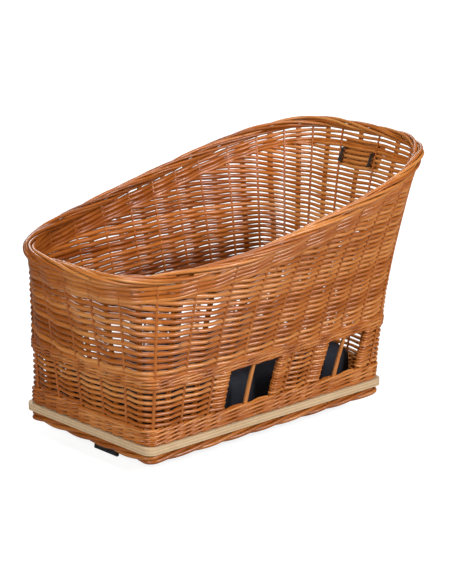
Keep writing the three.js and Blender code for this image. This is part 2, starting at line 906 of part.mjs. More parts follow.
// Round bar along Y through a point of the lever's plane
function alongY(x, z, radius, length, sides) {
  const geometry = new THREE.CylinderGeometry(radius, radius, length, sides);
  geometry.translate(x, 0, z);
  return geometry;
}

// Lever seen from the side: a handle with a finger lip in front, and a claw behind the pivot that
// reaches under the rack's front bar
function makeLever() {
  const lipFront = pivotX - leverReach;
  const lipBack = lipFront + leverArmThickness;
  const lipBottom = armBottom - leverLipDepth;
  const lipEdge = lipFront - leverLipLean;
  const clawTop = barBottom - 2 * fitGap;
  const clawBottom = clawTop - clawThickness;
  const front = pivotX - leverPivotRadius;
  const back = pivotX + leverPivotRadius;
  const shape = new THREE.Shape();
  shape.moveTo(front, armTop);
  shape.lineTo(lipBack, armTop);
  shape.quadraticCurveTo(lipFront, armTop, lipFront, armBottom);
  shape.lineTo(lipEdge, lipBottom + leverRounding);
  shape.quadraticCurveTo(lipEdge, lipBottom, lipEdge + leverRounding, lipBottom);
  shape.lineTo(lipBack, lipBottom + leverLipLean);
  shape.lineTo(lipBack + leverLipLean, armBottom);
  shape.lineTo(front, armBottom);
  shape.lineTo(pivotX - leverLipLean, clawBottom);
  shape.lineTo(back + clawReach - leverRounding, clawBottom);
  shape.lineTo(back + clawReach, clawTop);
  shape.lineTo(back - leverLipLean, clawTop);
  shape.lineTo(back, pivotZ);
  shape.absarc(pivotX, pivotZ, leverPivotRadius, 0, Math.PI, false);
  const plate = new THREE.ExtrudeGeometry(shape, {
    depth: leverWidth,
    bevelEnabled: false,
    curveSegments: cornerSegments,
  });
  plate.rotateX(Math.PI / 2);
  plate.translate(0, leverWidth / 2, 0);
  const radius = leverPinDiameter / 2 + fitGap;
  const bore = alongY(pivotX, pivotZ, radius, leverWidth + 2 * cutPast, holeSides);
  return toGeometry(toSolid(plate).subtract(toSolid(bore)));
}

// Coil spring between the adapter's roof and the lever's arm
function makeSpring() {
  const springX = pivotX - springPlace;
  const low = armTop + fitGap + springWire / 2;
  const high = roofBottom - fitGap - springWire / 2;
  const radius = (springDiameter - springWire) / 2;
  const steps = springStepsPerTurn * springTurns;
  const place = (i) => {
    const angle = 2 * Math.PI * i / springStepsPerTurn;
    const height = low + (high - low) * i / steps;
    return new THREE.Vector3(springX + radius * Math.cos(angle), radius * Math.sin(angle), height);
  };
  const rings = [];
  for (let i = 0; i <= steps; i++) {
    const centre = place(i);
    const tangent = place(i + 0.5).sub(place(i - 0.5)).normalize();
    const outward = new THREE.Vector3(centre.x - springX, centre.y, 0).normalize();
    const up = new THREE.Vector3().crossVectors(outward, tangent);
    const ring = [];
    for (let j = 0; j < springSides; j++) {
      const turn = 2 * Math.PI * j / springSides;
      ring.push(centre.clone()
        .addScaledVector(outward, springWire / 2 * Math.cos(turn))
        .addScaledVector(up, springWire / 2 * Math.sin(turn)));
    }
    rings.push(ring);
  }
  let least = Infinity;
  for (let i = 0; i <= steps; i++) {
    for (let k = i + springStepsPerTurn / 2; k <= steps; k++) {
      least = Math.min(least, place(i).distanceTo(place(k)) - springWire);
    }
  }
  console.log('least gap between the spring\'s turns, mm:', least.toFixed(2));
  return loft(rings, false);
}

function makeScrew(x, y) {
  const low = nutLow - screwPastNut;
  const top = boardTop - fitGap;
  return toGeometry(turnedAt(screwProfile(low, top, 0, top), x, y));
}

// Half outline of a countersunk screw, or grown by a clearance, of the hole that it goes through
function screwProfile(low, headTop, grow, end) {
  const shaft = screwDiameter / 2 + grow;
  const head = screwHeadDiameter / 2 + grow;
  return [
    new THREE.Vector2(0, low),
    new THREE.Vector2(shaft, low),
    new THREE.Vector2(shaft, headTop - screwHeadHeight - grow),
    new THREE.Vector2(head, headTop - screwHeadRim - grow),
    new THREE.Vector2(head, end),
    new THREE.Vector2(0, end),
  ];
}

function turnedAt(profile, x, y) {
  const geometry = new THREE.LatheGeometry(profile, holeSides);
  geometry.rotateX(Math.PI / 2);
  geometry.translate(x, y, 0);
  return toSolid(geometry);
}

// Ring of metal round a screw: a washer, or a nut with six flats
function makeRingPiece(x, y, low, high, radius, sides) {
  const bore = screwDiameter / 2 + fitGap;
  const outer = toSolid(upright(x, y, low, high, radius, sides));
  const hole = toSolid(upright(x, y, low - cutPast, high + cutPast, bore, holeSides));
  return toGeometry(outer.subtract(hole));
}

addPiece('base_board', makeBoard(), plywood);
addPiece('foot_border', makeFoot(), darkWillow);
const waleAt = (low, high) => wallGeometry(0, 2, level(low), level(high), -halfWale, halfWale, 1);
addPiece('bottom_wale', waleAt(waleFoot, waleTop), willow);

const lowerLow = level(waleTop + fitGap);
const lowerHigh = level(windowTop - fitGap);
const lowerWall = (from, to) => wallingGeometry(from, to, lowerLow, lowerHigh, false, lowWallLevels);
const stationOn = (side, place) => side > 0 ? stationAt(place) : 2 - stationAt(place);
const [nearFirst, nearLast] = windowsOf(1);
const [farFirst, farLast] = windowsOf(-1);
addPiece('lower_siding_front', lowerWall(-stationAt(farFirst.front), stationAt(nearFirst.front)), willow);
addPiece('window_pier_near', lowerWall(stationAt(nearFirst.rear), stationAt(nearLast.front)), willow);
addPiece('lower_siding_rear', lowerWall(stationAt(nearLast.rear), stationOn(-1, farLast.rear)), willow);
addPiece('window_pier_far', lowerWall(stationOn(-1, farLast.front), stationOn(-1, farFirst.rear)), willow);
for (const [name, side] of [['near', 1], ['far', -1]]) {
  ['front', 'rear'].forEach((end, i) => {
    const station = stationOn(side, windowsOf(side)[i].stake);
    addPiece(`window_stake_${name}_${end}`, makeWindowStake(station), willow);
  });
}

addPiece('middle_wale', waleAt(windowTop, middleWaleTop), willow);
['front', 'near', 'rear', 'far'].forEach((name, i) => {
  const from = (i - 0.5) / 2;
  addPiece(`upper_siding_${name}`, makeUpperSiding(from, from + 0.5), willow);
});
['a', 'b', 'c'].forEach((letter, i) => {
  addPiece(`border_rod_${letter}`, makeBorderRod(2 * Math.PI * i / 3), darkWillow);
});
addPiece('seat_cushion', makeCushion(), blackCloth);
addPiece('back_patch', makePatch(), leather);
addPiece('patch_lace_near', makeLace(-1), blackPlastic);
addPiece('patch_lace_far', makeLace(1), blackPlastic);

addPiece('rack_adapter', makeAdapter(), blackPlastic);
addPiece('release_lever', makeLever(), blackPlastic);
const pinLength = 2 * noseHalfWidth - 2 * fitGap;
addPiece('lever_pin', alongY(pivotX, pivotZ, leverPinDiameter / 2, pinLength, holeSides), steel);
addPiece('lever_spring', makeSpring(), steel);
screwPositions().forEach(({ x, y }, i) => {
  const washerTop = washerLow + washerThickness;
  const washer = makeRingPiece(x, y, washerLow, washerTop, washerDiameter / 2, pocketSides);
  const nut = makeRingPiece(x, y, nutLow, nutLow + nutHeight, nutRadius, nutSides);
  addPiece(`adapter_screw_${i + 1}`, makeScrew(x, y), steel);
  addPiece(`screw_washer_${i + 1}`, washer, steel);
  addPiece(`screw_nut_${i + 1}`, nut, steel);
});

export default basket;
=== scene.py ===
"""Dog basket for a bicycle's rear rack, woven from buff willow on a plywood board.

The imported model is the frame. The walls, borders, cushion and latch spring are made here as real
weaving, cloth and wire, and ride on the frame's bodies. Lengths in the weaving code are millimetres
and become metres when a piece is made.
"""
import math

import bmesh
import bpy
import numpy as np
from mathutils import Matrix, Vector


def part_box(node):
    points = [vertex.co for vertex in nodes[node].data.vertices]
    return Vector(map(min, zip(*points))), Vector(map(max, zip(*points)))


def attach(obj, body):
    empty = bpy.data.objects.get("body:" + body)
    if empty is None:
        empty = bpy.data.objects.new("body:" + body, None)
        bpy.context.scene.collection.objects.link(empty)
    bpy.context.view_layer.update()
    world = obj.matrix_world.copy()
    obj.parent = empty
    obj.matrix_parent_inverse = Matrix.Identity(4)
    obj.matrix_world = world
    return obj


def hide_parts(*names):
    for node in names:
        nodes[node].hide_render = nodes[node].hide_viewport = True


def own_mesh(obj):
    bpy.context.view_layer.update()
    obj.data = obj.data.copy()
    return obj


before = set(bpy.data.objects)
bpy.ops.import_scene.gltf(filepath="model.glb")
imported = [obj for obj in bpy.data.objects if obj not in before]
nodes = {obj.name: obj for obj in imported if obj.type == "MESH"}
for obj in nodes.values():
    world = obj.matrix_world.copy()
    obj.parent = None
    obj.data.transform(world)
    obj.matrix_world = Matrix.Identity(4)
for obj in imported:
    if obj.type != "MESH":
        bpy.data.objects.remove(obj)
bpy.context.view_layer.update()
MM = 0.001
rng = np.random.default_rng(1848)


def box_in_mm(node):
    """Lowest and highest corner of a CAD node, to a tenth of a millimetre."""
    return [[round(value / MM, 1) for value in corner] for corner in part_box(node)]


# Sizes that the frame's boxes give
board_low, board_high = box_in_mm("base_board")
BOARD_LENGTH, BOARD_WIDTH = board_high[0] - board_low[0], board_high[1] - board_low[1]
BOARD_BOTTOM, BOARD_TOP = board_low[2], board_high[2]
WALE_FOOT, WALE_TOP = (corner[2] for corner in box_in_mm("bottom_wale"))
WINDOW_TOP, MIDDLE_WALE_TOP = (corner[2] for corner in box_in_mm("middle_wale"))

# The line on which the stakes stand: how far in from the board's edge, and the radius of its corners
STAKE_SET_IN, STAKE_CORNER = 9.0, 12.0
HALF_LENGTH = BOARD_LENGTH / 2 - STAKE_SET_IN
HALF_WIDTH = BOARD_WIDTH / 2 - STAKE_SET_IN
HALF_ROUND = 2 * (HALF_LENGTH + HALF_WIDTH) - (4 - math.pi) * STAKE_CORNER

# How the wall flares from that line to the rim, and how far its stakes fan towards the back
FLARE_STRAIGHT, FLARE_POWER = 0.55, 2.4
STAKE_FAN, STAKE_FAN_POWER = 0.055, 1.6

# The rim: its size and place in plan, how square it is, and its heights above the board
RIM_LENGTH, RIM_WIDTH, RIM_REARWARD, RIM_WIDENING = 622.0, 394.0, 40.0, 0.04
RIM_SQUARE_ALONG, RIM_SQUARE_ACROSS = 0.73, 0.57
RIM_FRONT, RIM_SIDE, RIM_REAR, RIM_SWELL = 246.0, 290.5, 360.0, 5.8
RIM_STEPS = 1440

# The windows' edges and lone stakes, along the stakes' line from the middle of the front
WINDOW_FRONTS, WINDOW_STAKES, WINDOW_REARS = (270.0, 463.0), (312.0, 497.0), (358.0, 543.0)
FAR_WINDOWS_FORWARD, EDGE_SET_BACK, STAKES_OVER_WINDOW = 36.0, 7.5, 3
STAKE_SPACING = 24.8

# Above the windows the stakes lean on: pairs of a station and how far it has moved round at the rim
UPPER_LEAN = ((0, 0), (0.45, -0.015), (0.6, -0.03), (0.77, -0.025), (0.9, 0.05), (0.97, 0.08), (1.2, 0.085),
              (1.35, 0.1), (1.45, 0.075), (1.55, 0.055), (1.75, 0.03), (2, 0))

# Difference of station over which a slope is taken
SLOPE_STEP = 0.004


def unit(vectors):
    return vectors / np.linalg.norm(vectors, axis=1)[:, None]


def stake_line(share):
    """Where the wall stands on the board, from the front's middle to the back's along the near side."""
    along = np.asarray(share, float) * HALF_ROUND
    front = HALF_WIDTH - STAKE_CORNER
    arc = STAKE_CORNER * math.pi / 2
    side = 2 * (HALF_LENGTH - STAKE_CORNER)
    x = np.full(along.shape, -HALF_LENGTH)
    y = -along.copy()
    first = (along >= front) & (along < front + arc)
    turn = (along[first] - front) / STAKE_CORNER
    x[first] = -HALF_LENGTH + STAKE_CORNER * (1 - np.cos(turn))
    y[first] = -front - STAKE_CORNER * np.sin(turn)
    flank = (along >= front + arc) & (along < front + arc + side)
    x[flank] = -HALF_LENGTH + STAKE_CORNER + along[flank] - front - arc
    y[flank] = -HALF_WIDTH
    second = (along >= front + arc + side) & (along < front + 2 * arc + side)
    turn = (along[second] - front - arc - side) / STAKE_CORNER
    x[second] = HALF_LENGTH - STAKE_CORNER * (1 - np.sin(turn))
    y[second] = -front - STAKE_CORNER * np.cos(turn)
    back = along >= front + 2 * arc + side
    x[back] = HALF_LENGTH
    y[back] = along[back] - HALF_ROUND
    return x, y


def rim_at_angle(angle):
    """The rim at an angle round its oval, from the front's middle along the near side."""
    c, s = np.cos(angle), np.sin(angle)
    u = -np.sign(c) * np.abs(c) ** RIM_SQUARE_ALONG
    across = RIM_WIDTH / 2 * (1 + RIM_WIDENING * u) * np.abs(s) ** RIM_SQUARE_ACROSS
    climb = (RIM_REAR - RIM_FRONT) / 2
    bow = (RIM_REAR + RIM_FRONT) / 2 - RIM_SIDE
    height = BOARD_TOP + RIM_SIDE + climb * u + bow * u * u + RIM_SWELL * (u - u ** 3)
    return RIM_REARWARD + RIM_LENGTH / 2 * u, -across, height


rim_angles = np.linspace(0, math.pi, RIM_STEPS + 1)
rim_x, rim_y = rim_at_angle(rim_angles)[:2]
rim_run = np.concatenate([[0], np.cumsum(np.hypot(np.diff(rim_x), np.diff(rim_y)))])
rim_run /= rim_run[-1]


def rim_line(share):
    """The rim at a share of its way from the front's middle to the back's."""
    return rim_at_angle(np.interp(share, rim_run, rim_angles))


def share_and_side(station):
    """How far round its side a station is, and 1 on the near side or -1 on the far one."""
    turn = np.mod(station, 2.0)
    far = turn > 1
    return np.where(far, 2 - turn, turn), np.where(far, -1.0, 1.0)


def section(station, rise):
    """The wall in plan, at a share of its height."""
    share, side = share_and_side(station)
    foot_x, foot_y = stake_line(share)
    top_x, top_y, _ = rim_line(share)
    flare = FLARE_STRAIGHT * rise + (1 - FLARE_STRAIGHT) * rise ** FLARE_POWER
    return foot_x + (top_x - foot_x) * flare, side * (foot_y + (top_y - foot_y) * flare)


def fan(station):
    """How far towards the back a stake's station has moved where it meets the rim."""
    share, side = share_and_side(station)
    return side * STAKE_FAN * np.sin(math.pi * share ** STAKE_FAN_POWER) ** 2


def lean(station):
    """What the walling above the windows adds to that."""
    return np.interp(np.mod(station, 2.0), *zip(*UPPER_LEAN))


def surface(station, height, outward):
    """Points of the wall right above their stations."""
    share, _ = share_and_side(station)
    rise = np.maximum((height - BOARD_TOP) / (rim_line(share)[2] - BOARD_TOP), 0)
    x, y = section(station, rise)
    x_ahead, y_ahead = section(station + SLOPE_STEP, rise)
    x_behind, y_behind = section(station - SLOPE_STEP, rise)
    length = np.hypot(x_ahead - x_behind, y_ahead - y_behind)
    return np.stack([
        x + outward * (y_ahead - y_behind) / length,
        y - outward * (x_ahead - x_behind) / length,
        height,
    ], -1)


def wall(station, height, outward):
    """Points of the wall in millimetres: stations run round it from 0 to 2 and lean with their stakes."""
    station, height, outward = np.broadcast_arrays(
        np.asarray(station, float), np.asarray(height, float), np.asarray(outward, float))
    rim = rim_line(share_and_side(station)[0])[2]
    early = (height - BOARD_TOP) / (rim - BOARD_TOP)
    late = np.maximum((height - MIDDLE_WALE_TOP) / (rim - MIDDLE_WALE_TOP), 0)
    return surface(station + fan(station) * early + lean(station) * late, height, outward)


def rim_height(station):
    """Height of the rim where a station's stake meets it."""
    return rim_line(share_and_side(station + fan(station) + lean(station))[0])[2]


def even_places(start, end):
    """Even places between two stakes, with half a space at the middles of the front and the back."""
    count = max(1, round((end - start) / STAKE_SPACING))
    pitch = (end - start) / (count - (0.5 if start == 0 or end == HALF_ROUND else 0))
    first = end - pitch * count if start == 0 else start
    return [first + pitch * i for i in range(1, count)]


def windows_of(side):
    """Front edge, lone stake and rear edge of a side's two windows; the far ones are further forward."""
    forward = FAR_WINDOWS_FORWARD if side < 0 else 0.0
    return [[p - forward for p in window] for window in zip(WINDOW_FRONTS, WINDOW_STAKES, WINDOW_REARS)]


def stake_places(side, above):
    """Places of a side's stakes, up to the middle waling or above it."""
    places, start = [], 0.0
    for front, lone, rear in windows_of(side):
        first, last = front - EDGE_SET_BACK, rear + EDGE_SET_BACK
        places += even_places(start, first) + [first]
        if above:
            share = (last - first) / (STAKES_OVER_WINDOW + 1)
            places += [first + share * i for i in range(1, STAKES_OVER_WINDOW + 1)]
        else:
            places.append(lone)
        places.append(last)
        start = last
    return places + even_places(start, HALF_ROUND)


def all_round(above):
    near, far = (np.array(stake_places(side, above)) / HALF_ROUND for side in (1, -1))
    return np.concatenate([near, (2 - far)[::-1]])


low_stakes = all_round(False)
high_stakes = all_round(True)


def stake_count(station, stakes_at):
    """Station as a number of stakes: whole at a stake, counted on past a full round."""
    count = len(stakes_at)
    table = np.concatenate([stakes_at - 2, stakes_at, stakes_at + 2])
    return np.interp(station, table, np.arange(-count, 2 * count))


def add_object(name, data):
    made = bpy.data.objects.new(name, data)
    bpy.context.scene.collection.objects.link(made)
    return made


class Tree:
    """A node tree with a few calls for its nodes."""

    def __init__(self, tree):
        self.tree = tree

    def put(self, value, socket):
        if isinstance(value, bpy.types.NodeSocket):
            self.tree.links.new(value, socket)
        else:
            socket.default_value = value

    def node(self, kind, inputs=None, **settings):
        """A new node with its settings, and what goes into its sockets by name or number."""
        node = self.tree.nodes.new(kind)
        for key, value in settings.items():
            setattr(node, key, value)
        for key, value in (inputs or {}).items():
            self.put(value, node.inputs[key])
        return node


def rod_tree():
    """Geometry nodes that turn paths into willow rods, with the thickness that each point carries."""
    group = bpy.data.node_groups.new("willow rods along paths", "GeometryNodeTree")
    face = group.interface
    face.new_socket("Paths", in_out="INPUT", socket_type="NodeSocketGeometry")
    inputs = {label: face.new_socket(label, in_out="INPUT", socket_type="NodeSocket" + kind)
              for label, kind in (("Sides", "Int"), ("Hand bend", "Float"), ("Bend size", "Float"),
                                  ("Finish", "Material"))}
    face.new_socket("Rods", in_out="OUTPUT", socket_type="NodeSocketGeometry")
    t = Tree(group)
    start = t.node("NodeGroupInput").outputs
    position = t.node("GeometryNodeInputPosition").outputs[0]

    # The paths are bent a little, as by hand
    noise = t.node("ShaderNodeTexNoise", {"Vector": position, "Scale": start["Bend size"], "Detail": 1.0})
    centred = t.node("ShaderNodeVectorMath", {0: noise.outputs["Color"], 1: (0.5, 0.5, 0.5)},
                     operation="SUBTRACT")
    offset = t.node("ShaderNodeVectorMath", {0: centred.outputs[0], "Scale": start["Hand bend"]},
                    operation="SCALE")
    bent = t.node("GeometryNodeSetPosition", {"Geometry": start["Paths"], "Offset": offset.outputs[0]})

    # A circle whose points know their place round the rod runs along each
    curves = t.node("GeometryNodeMeshToCurve", {"Mesh": bent.outputs[0]})
    circle = t.node("GeometryNodeCurvePrimitiveCircle", {"Radius": 1.0, "Resolution": start["Sides"]})
    bark = t.node("GeometryNodeStoreNamedAttribute",
                  {"Name": "round_rod", "Geometry": circle.outputs["Curve"], "Value": position},
                  data_type="FLOAT_VECTOR", domain="POINT")
    thickness = t.node("GeometryNodeInputNamedAttribute", {"Name": "rod_radius"}, data_type="FLOAT")
    tubes = t.node("GeometryNodeCurveToMesh", {
        "Curve": curves.outputs["Curve"], "Profile Curve": bark.outputs["Geometry"],
        "Scale": thickness.outputs["Attribute"], "Fill Caps": True})
    smooth = t.node("GeometryNodeSetShadeSmooth", {"Geometry": tubes.outputs["Mesh"]})
    painted = t.node("GeometryNodeSetMaterial", {"Geometry": smooth.outputs[0], "Material": start["Finish"]})
    rods = t.node("GeometryNodeRealizeInstances", {0: painted.outputs[0]})
    t.node("NodeGroupOutput", {"Rods": rods.outputs[0]})
    return group, inputs


rods_along_paths, rod_inputs = rod_tree()
# A rod begins anywhere within this length of its grain's pattern
GRAIN_LENGTH = 1000.0


class Bundle:
    """Paths of rods that become one piece: points in millimetres, with a thickness and a tint for each."""

    def __init__(self):
        self.points, self.radii, self.along, self.tints, self.edges = [], [], [], [], []
        self.count = 0

    def add(self, points, diameter, tint=None, closed=False, pale=0.0):
        """One path. Its tint is drawn unless given, and pale shifts it, everywhere or point by point."""
        points = np.asarray(points, float)
        n = len(points)
        run = np.concatenate([[0], np.cumsum(np.linalg.norm(np.diff(points, axis=0), axis=1))])
        tint = rng.random() if tint is None else tint
        self.points.append(points)
        self.radii.append(np.full(n, diameter) / 2)
        self.along.append(run + rng.random() * GRAIN_LENGTH)
        self.tints.append(np.full(n, tint) + pale)
        starts = np.arange(n if closed else n - 1)
        self.edges.append(self.count + np.stack([starts, (starts + 1) % n], 1))
        self.count += n

    def piece(self, name, finish, sides=7, bend=0.0, bend_size=40.0, stands_for=(), slot="willow"):
        """The rods as one plain mesh, each bent a little by hand over bend_size's lengths."""
        mesh = bpy.data.meshes.new(name + " paths")
        points = np.concatenate(self.points) * MM
        mesh.from_pydata(points.tolist(), np.concatenate(self.edges).tolist(), [])
        for label, values in (("rod_radius", np.concatenate(self.radii) * MM),
                              ("along_rod", np.concatenate(self.along) * MM),
                              ("tint", np.concatenate(self.tints))):
            layer = mesh.attributes.new(label, "FLOAT", "POINT")
            layer.data.foreach_set("value", values.astype(np.float32))
        paths = add_object(name + " paths", mesh)
        modifier = paths.modifiers.new("rods", "NODES")
        modifier.node_group = rods_along_paths
        for label, value in (("Sides", sides), ("Hand bend", bend * MM), ("Bend size", bend_size),
                             ("Finish", finish)):
            modifier[rod_inputs[label].identifier] = value
        made = evaluated_copy(paths, name)
        bpy.data.objects.remove(paths)
        ride(made, "basket", stands_for)


def evaluated_copy(source, name):
    """A new object with the plain mesh that an object's modifiers make."""
    bpy.context.view_layer.update()
    view = bpy.context.evaluated_depsgraph_get()
    mesh = bpy.data.meshes.new_from_object(source.evaluated_get(view), depsgraph=view)
    mesh.name = name
    return add_object(name, mesh)


def ride(piece, body, stands_for):
    """Make a piece move with a body, and hide the CAD nodes that it stands for."""
    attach(piece, body)
    if stands_for:
        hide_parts(*stands_for)


class Finish(Tree):
    """A material, with a call for each kind of node that the finishes use."""

    def __init__(self, name):
        self.material = bpy.data.materials.new(name)
        self.material.use_nodes = True
        super().__init__(self.material.node_tree)
        self.shader = self.tree.nodes["Principled BSDF"]
        self.place = self.node("ShaderNodeTexCoord").outputs["Object"]

    def set(self, **values):
        for key, value in values.items():
            self.put(value, self.shader.inputs[key.replace("_", " ")])

    def attribute(self, name, kind="Fac"):
        return self.node("ShaderNodeAttribute", attribute_name=name).outputs[kind]

    def on_rod(self, around, along):
        """A place on a rod, round it and along it, each with its own scale."""
        split = self.node("ShaderNodeSeparateXYZ", {0: self.attribute("round_rod", "Vector")}).outputs
        parts = (split[0], around), (split[1], around), (self.attribute("along_rod"), along)
        inputs = {i: self.times(*pair) for i, pair in enumerate(parts)}
        return self.node("ShaderNodeCombineXYZ", inputs).outputs[0]

    def noise(self, scale, detail=3.0, roughness=0.55, place=None, distortion=0.0):
        return self.node("ShaderNodeTexNoise", {
            "Vector": place or self.place, "Scale": scale, "Detail": detail, "Roughness": roughness,
            "Distortion": distortion}).outputs["Fac"]

    def ramp(self, value, stops):
        node = self.node("ShaderNodeValToRGB", {"Fac": value})
        elements = node.color_ramp.elements
        while len(elements) < len(stops):
            elements.new(0.5)
        for element, (at, color) in zip(elements, stops):
            element.position = at
            element.color = (*color, 1)
        return node.outputs["Color"]

    def mix(self, factor, color, other):
        """Sockets 6 and 7 of a mix node are its colours, and output 2 is the mixed one."""
        color, other = ((*value, 1) if isinstance(value, tuple) else value for value in (color, other))
        return self.node("ShaderNodeMix", {0: factor, 6: color, 7: other}, data_type="RGBA").outputs[2]

    def math(self, operation, a, b):
        return self.node("ShaderNodeMath", {0: a, 1: b}, operation=operation).outputs[0]

    def times(self, a, b):
        return self.math("MULTIPLY", a, b)

    def plus(self, a, b):
        return self.math("ADD", a, b)

    def span(self, value, low, high, to_low=0.0, to_high=1.0):
        """A value from low to high becomes one from to_low to to_high."""
        inputs = dict(enumerate((value, low, high, to_low, to_high)))
        return self.node("ShaderNodeMapRange", inputs).outputs[0]

    def scaled(self, x, y, z):
        return self.node("ShaderNodeMapping", {"Vector": self.place, "Scale": (x, y, z)}).outputs[0]

    def bump(self, height, distance, strength, after=None):
        inputs = {"Height": height, "Distance": distance, "Strength": strength}
        if after is not None:
            inputs["Normal"] = after
        return self.node("ShaderNodeBump", inputs).outputs[0]


def willow(name, dark, middle, light):
    """Boiled and lacquered willow: rods of several browns, with streaks along each and leaf scars."""
    m = Finish(name)
    grain_place = m.on_rod(1.6, 22.0)
    streaks = m.noise(1.7, 4.0, 0.6, grain_place)
    fine = m.noise(3.2, 5.0, 0.6, grain_place)
    patches = m.noise(26.0, 2.0, 0.5)
    scars = m.node("ShaderNodeTexVoronoi", {"Vector": m.on_rod(0.6, 150.0), "Scale": 0.35})
    scar = m.span(scars.outputs["Distance"], 0.05, 0.16, 1.0, 0.0)
    shade = m.plus(m.times(m.attribute("tint"), 0.4), m.plus(m.times(streaks, 0.5), m.times(patches, 0.25)))
    color = m.ramp(m.span(shade, 0.15, 0.98), [(0.0, dark), (0.48, middle), (1.0, light)])
    color = m.mix(m.times(scar, 0.6), color, tuple(value * 0.35 for value in dark))
    m.set(Base_Color=color, Roughness=m.span(streaks, 0.3, 0.7, 0.24, 0.4),
          Specular_IOR_Level=0.38, Coat_Weight=0.16, Coat_Roughness=0.28,
          Normal=m.bump(m.plus(fine, m.times(scar, 0.8)), 0.0004, 0.5))
    return m.material


def plywood():
    """Birch plywood: plies that show as stripes on the edge, and grain with fibres on the face."""
    m = Finish("birch plywood")
    height = m.times(m.node("ShaderNodeSeparateXYZ", {0: m.place}).outputs["Z"], 1 / MM)
    wavy = m.plus(height, m.times(m.noise(30.0, 2.0), 0.5))
    plies = m.ramp(m.span(wavy, BOARD_BOTTOM, BOARD_TOP + 0.5), [
        (0.0, (0.5, 0.34, 0.19)), (0.2, (0.56, 0.4, 0.24)), (0.25, (0.36, 0.22, 0.11)),
        (0.42, (0.47, 0.32, 0.18)), (0.46, (0.6, 0.44, 0.27)), (0.62, (0.57, 0.41, 0.25)),
        (0.66, (0.36, 0.22, 0.11)), (0.8, (0.46, 0.31, 0.17)), (0.84, (0.6, 0.44, 0.27)),
        (1.0, (0.52, 0.37, 0.22))])
    grain = m.noise(9.0, 5.0, 0.65, m.scaled(2.0, 30.0, 2.0), 0.6)
    fibres = m.noise(60.0, 4.0, 0.7, m.scaled(1.0, 1.0, 12.0))
    color = m.mix(0.35, plies, m.ramp(grain, [(0.3, (0.4, 0.26, 0.13)), (0.7, (0.64, 0.48, 0.3))]))
    color = m.mix(m.span(fibres, 0.45, 0.7, 0.0, 0.3), color, (0.4, 0.26, 0.13))
    m.set(Base_Color=color, Roughness=m.span(grain, 0.3, 0.7, 0.5, 0.68),
          Normal=m.bump(m.plus(grain, fibres), 0.0003, 0.4))
    return m.material


def black_plastic():
    m = Finish("grained black plastic")
    grain = m.noise(900.0, 2.0, 0.5)
    wear = m.noise(40.0, 4.0, 0.6)
    m.set(Base_Color=m.ramp(wear, [(0.3, (0.012, 0.012, 0.013)), (0.75, (0.026, 0.026, 0.028))]),
          Roughness=m.span(wear, 0.3, 0.7, 0.38, 0.55), Normal=m.bump(grain, 0.0002, 0.35))
    return m.material


def zinc():
    m = Finish("zinc plated steel")
    spangle = m.noise(300.0, 3.0, 0.6)
    brushed = m.noise(120.0, 3.0, 0.6, m.scaled(1.0, 1.0, 14.0))
    m.set(Base_Color=m.ramp(spangle, [(0.3, (0.45, 0.46, 0.48)), (0.7, (0.68, 0.69, 0.7))]),
          Metallic=1.0, Roughness=m.span(brushed, 0.3, 0.7, 0.24, 0.42), Normal=m.bump(brushed, 0.0001, 0.3))
    return m.material


def leather(name, dark, light):
    m = Finish(name)
    pores = m.node("ShaderNodeTexVoronoi", {"Vector": m.place, "Scale": 700.0}, feature="DISTANCE_TO_EDGE")
    creases = m.noise(120.0, 4.0, 0.6)
    height = m.plus(m.span(pores.outputs["Distance"], 0.0, 0.12), m.times(creases, 0.8))
    m.set(Base_Color=m.ramp(creases, [(0.3, dark), (0.7, light)]),
          Roughness=m.span(creases, 0.3, 0.7, 0.42, 0.6),
          Normal=m.bump(height, 0.0003, 0.5))
    return m.material


def cloth():
    """Black woven polyester: fine threads both ways on the piece's own UV map."""
    m = Finish("black cloth")
    uv = m.node("ShaderNodeUVMap", uv_map="weave").outputs[0]
    across, down = (m.node("ShaderNodeTexWave", {"Vector": uv, "Scale": 360.0, "Distortion": 0.6},
                           bands_direction=way, wave_profile="SIN").outputs["Fac"] for way in "XY")
    threads = m.math("MAXIMUM", across, down)
    lint = m.noise(55.0, 4.0, 0.6)
    m.set(Base_Color=m.mix(m.span(lint, 0.35, 0.75, 0.0, 0.6),
                           m.ramp(threads, [(0.0, (0.003, 0.0035, 0.006)), (1.0, (0.008, 0.01, 0.016))]),
                           (0.014, 0.017, 0.026)),
          Roughness=0.75, Specular_IOR_Level=0.2, Sheen_Weight=0.03, Sheen_Roughness=0.4,
          Normal=m.bump(threads, 0.0003, 0.5, m.bump(m.noise(9.0, 3.0), 0.004, 0.25)))
    return m.material


willow_rods = willow("buff willow", (0.16, 0.03, 0.001), (0.37, 0.102, 0.012), (0.58, 0.245, 0.068))
border_rods = willow("thick buff willow", (0.13, 0.026, 0.001), (0.34, 0.092, 0.011), (0.56, 0.23, 0.058))
plastic_finish = black_plastic()
zinc_finish = zinc()
lace_finish = leather("black leather lace", (0.008, 0.007, 0.006), (0.02, 0.016, 0.013))
cloth_finish = cloth()
node_finishes = {
    "base_board": plywood(),
    "rack_adapter": plastic_finish,
    "release_lever": plastic_finish,
    "back_patch": leather("brown leather", (0.42, 0.135, 0.026), (0.54, 0.19, 0.045)),
    "patch_lace_near": lace_finish,
    "patch_lace_far": lace_finish,
}
for name, node in nodes.items():
    node.data.materials.clear()
    node.data.materials.append(node_finishes.get(name, zinc_finish))

# Stakes: their thickness at the foot and the top and its spread, and the share of it that is left to one
# of a pair, and to a single one where the photo shows the wall's outside or its inside
STAKE_LOW, STAKE_HIGH, STAKE_SPREAD = 5.6, 4.9, 0.2
PAIRED, SINGLE_OUTSIDE, SINGLE_INSIDE = 0.9, 0.88, 0.7
# How far a stake swings out of line, and how far the rows go out round a window's edge stake
STAKE_SWING, EDGE_SWING = 2.6, 4.3
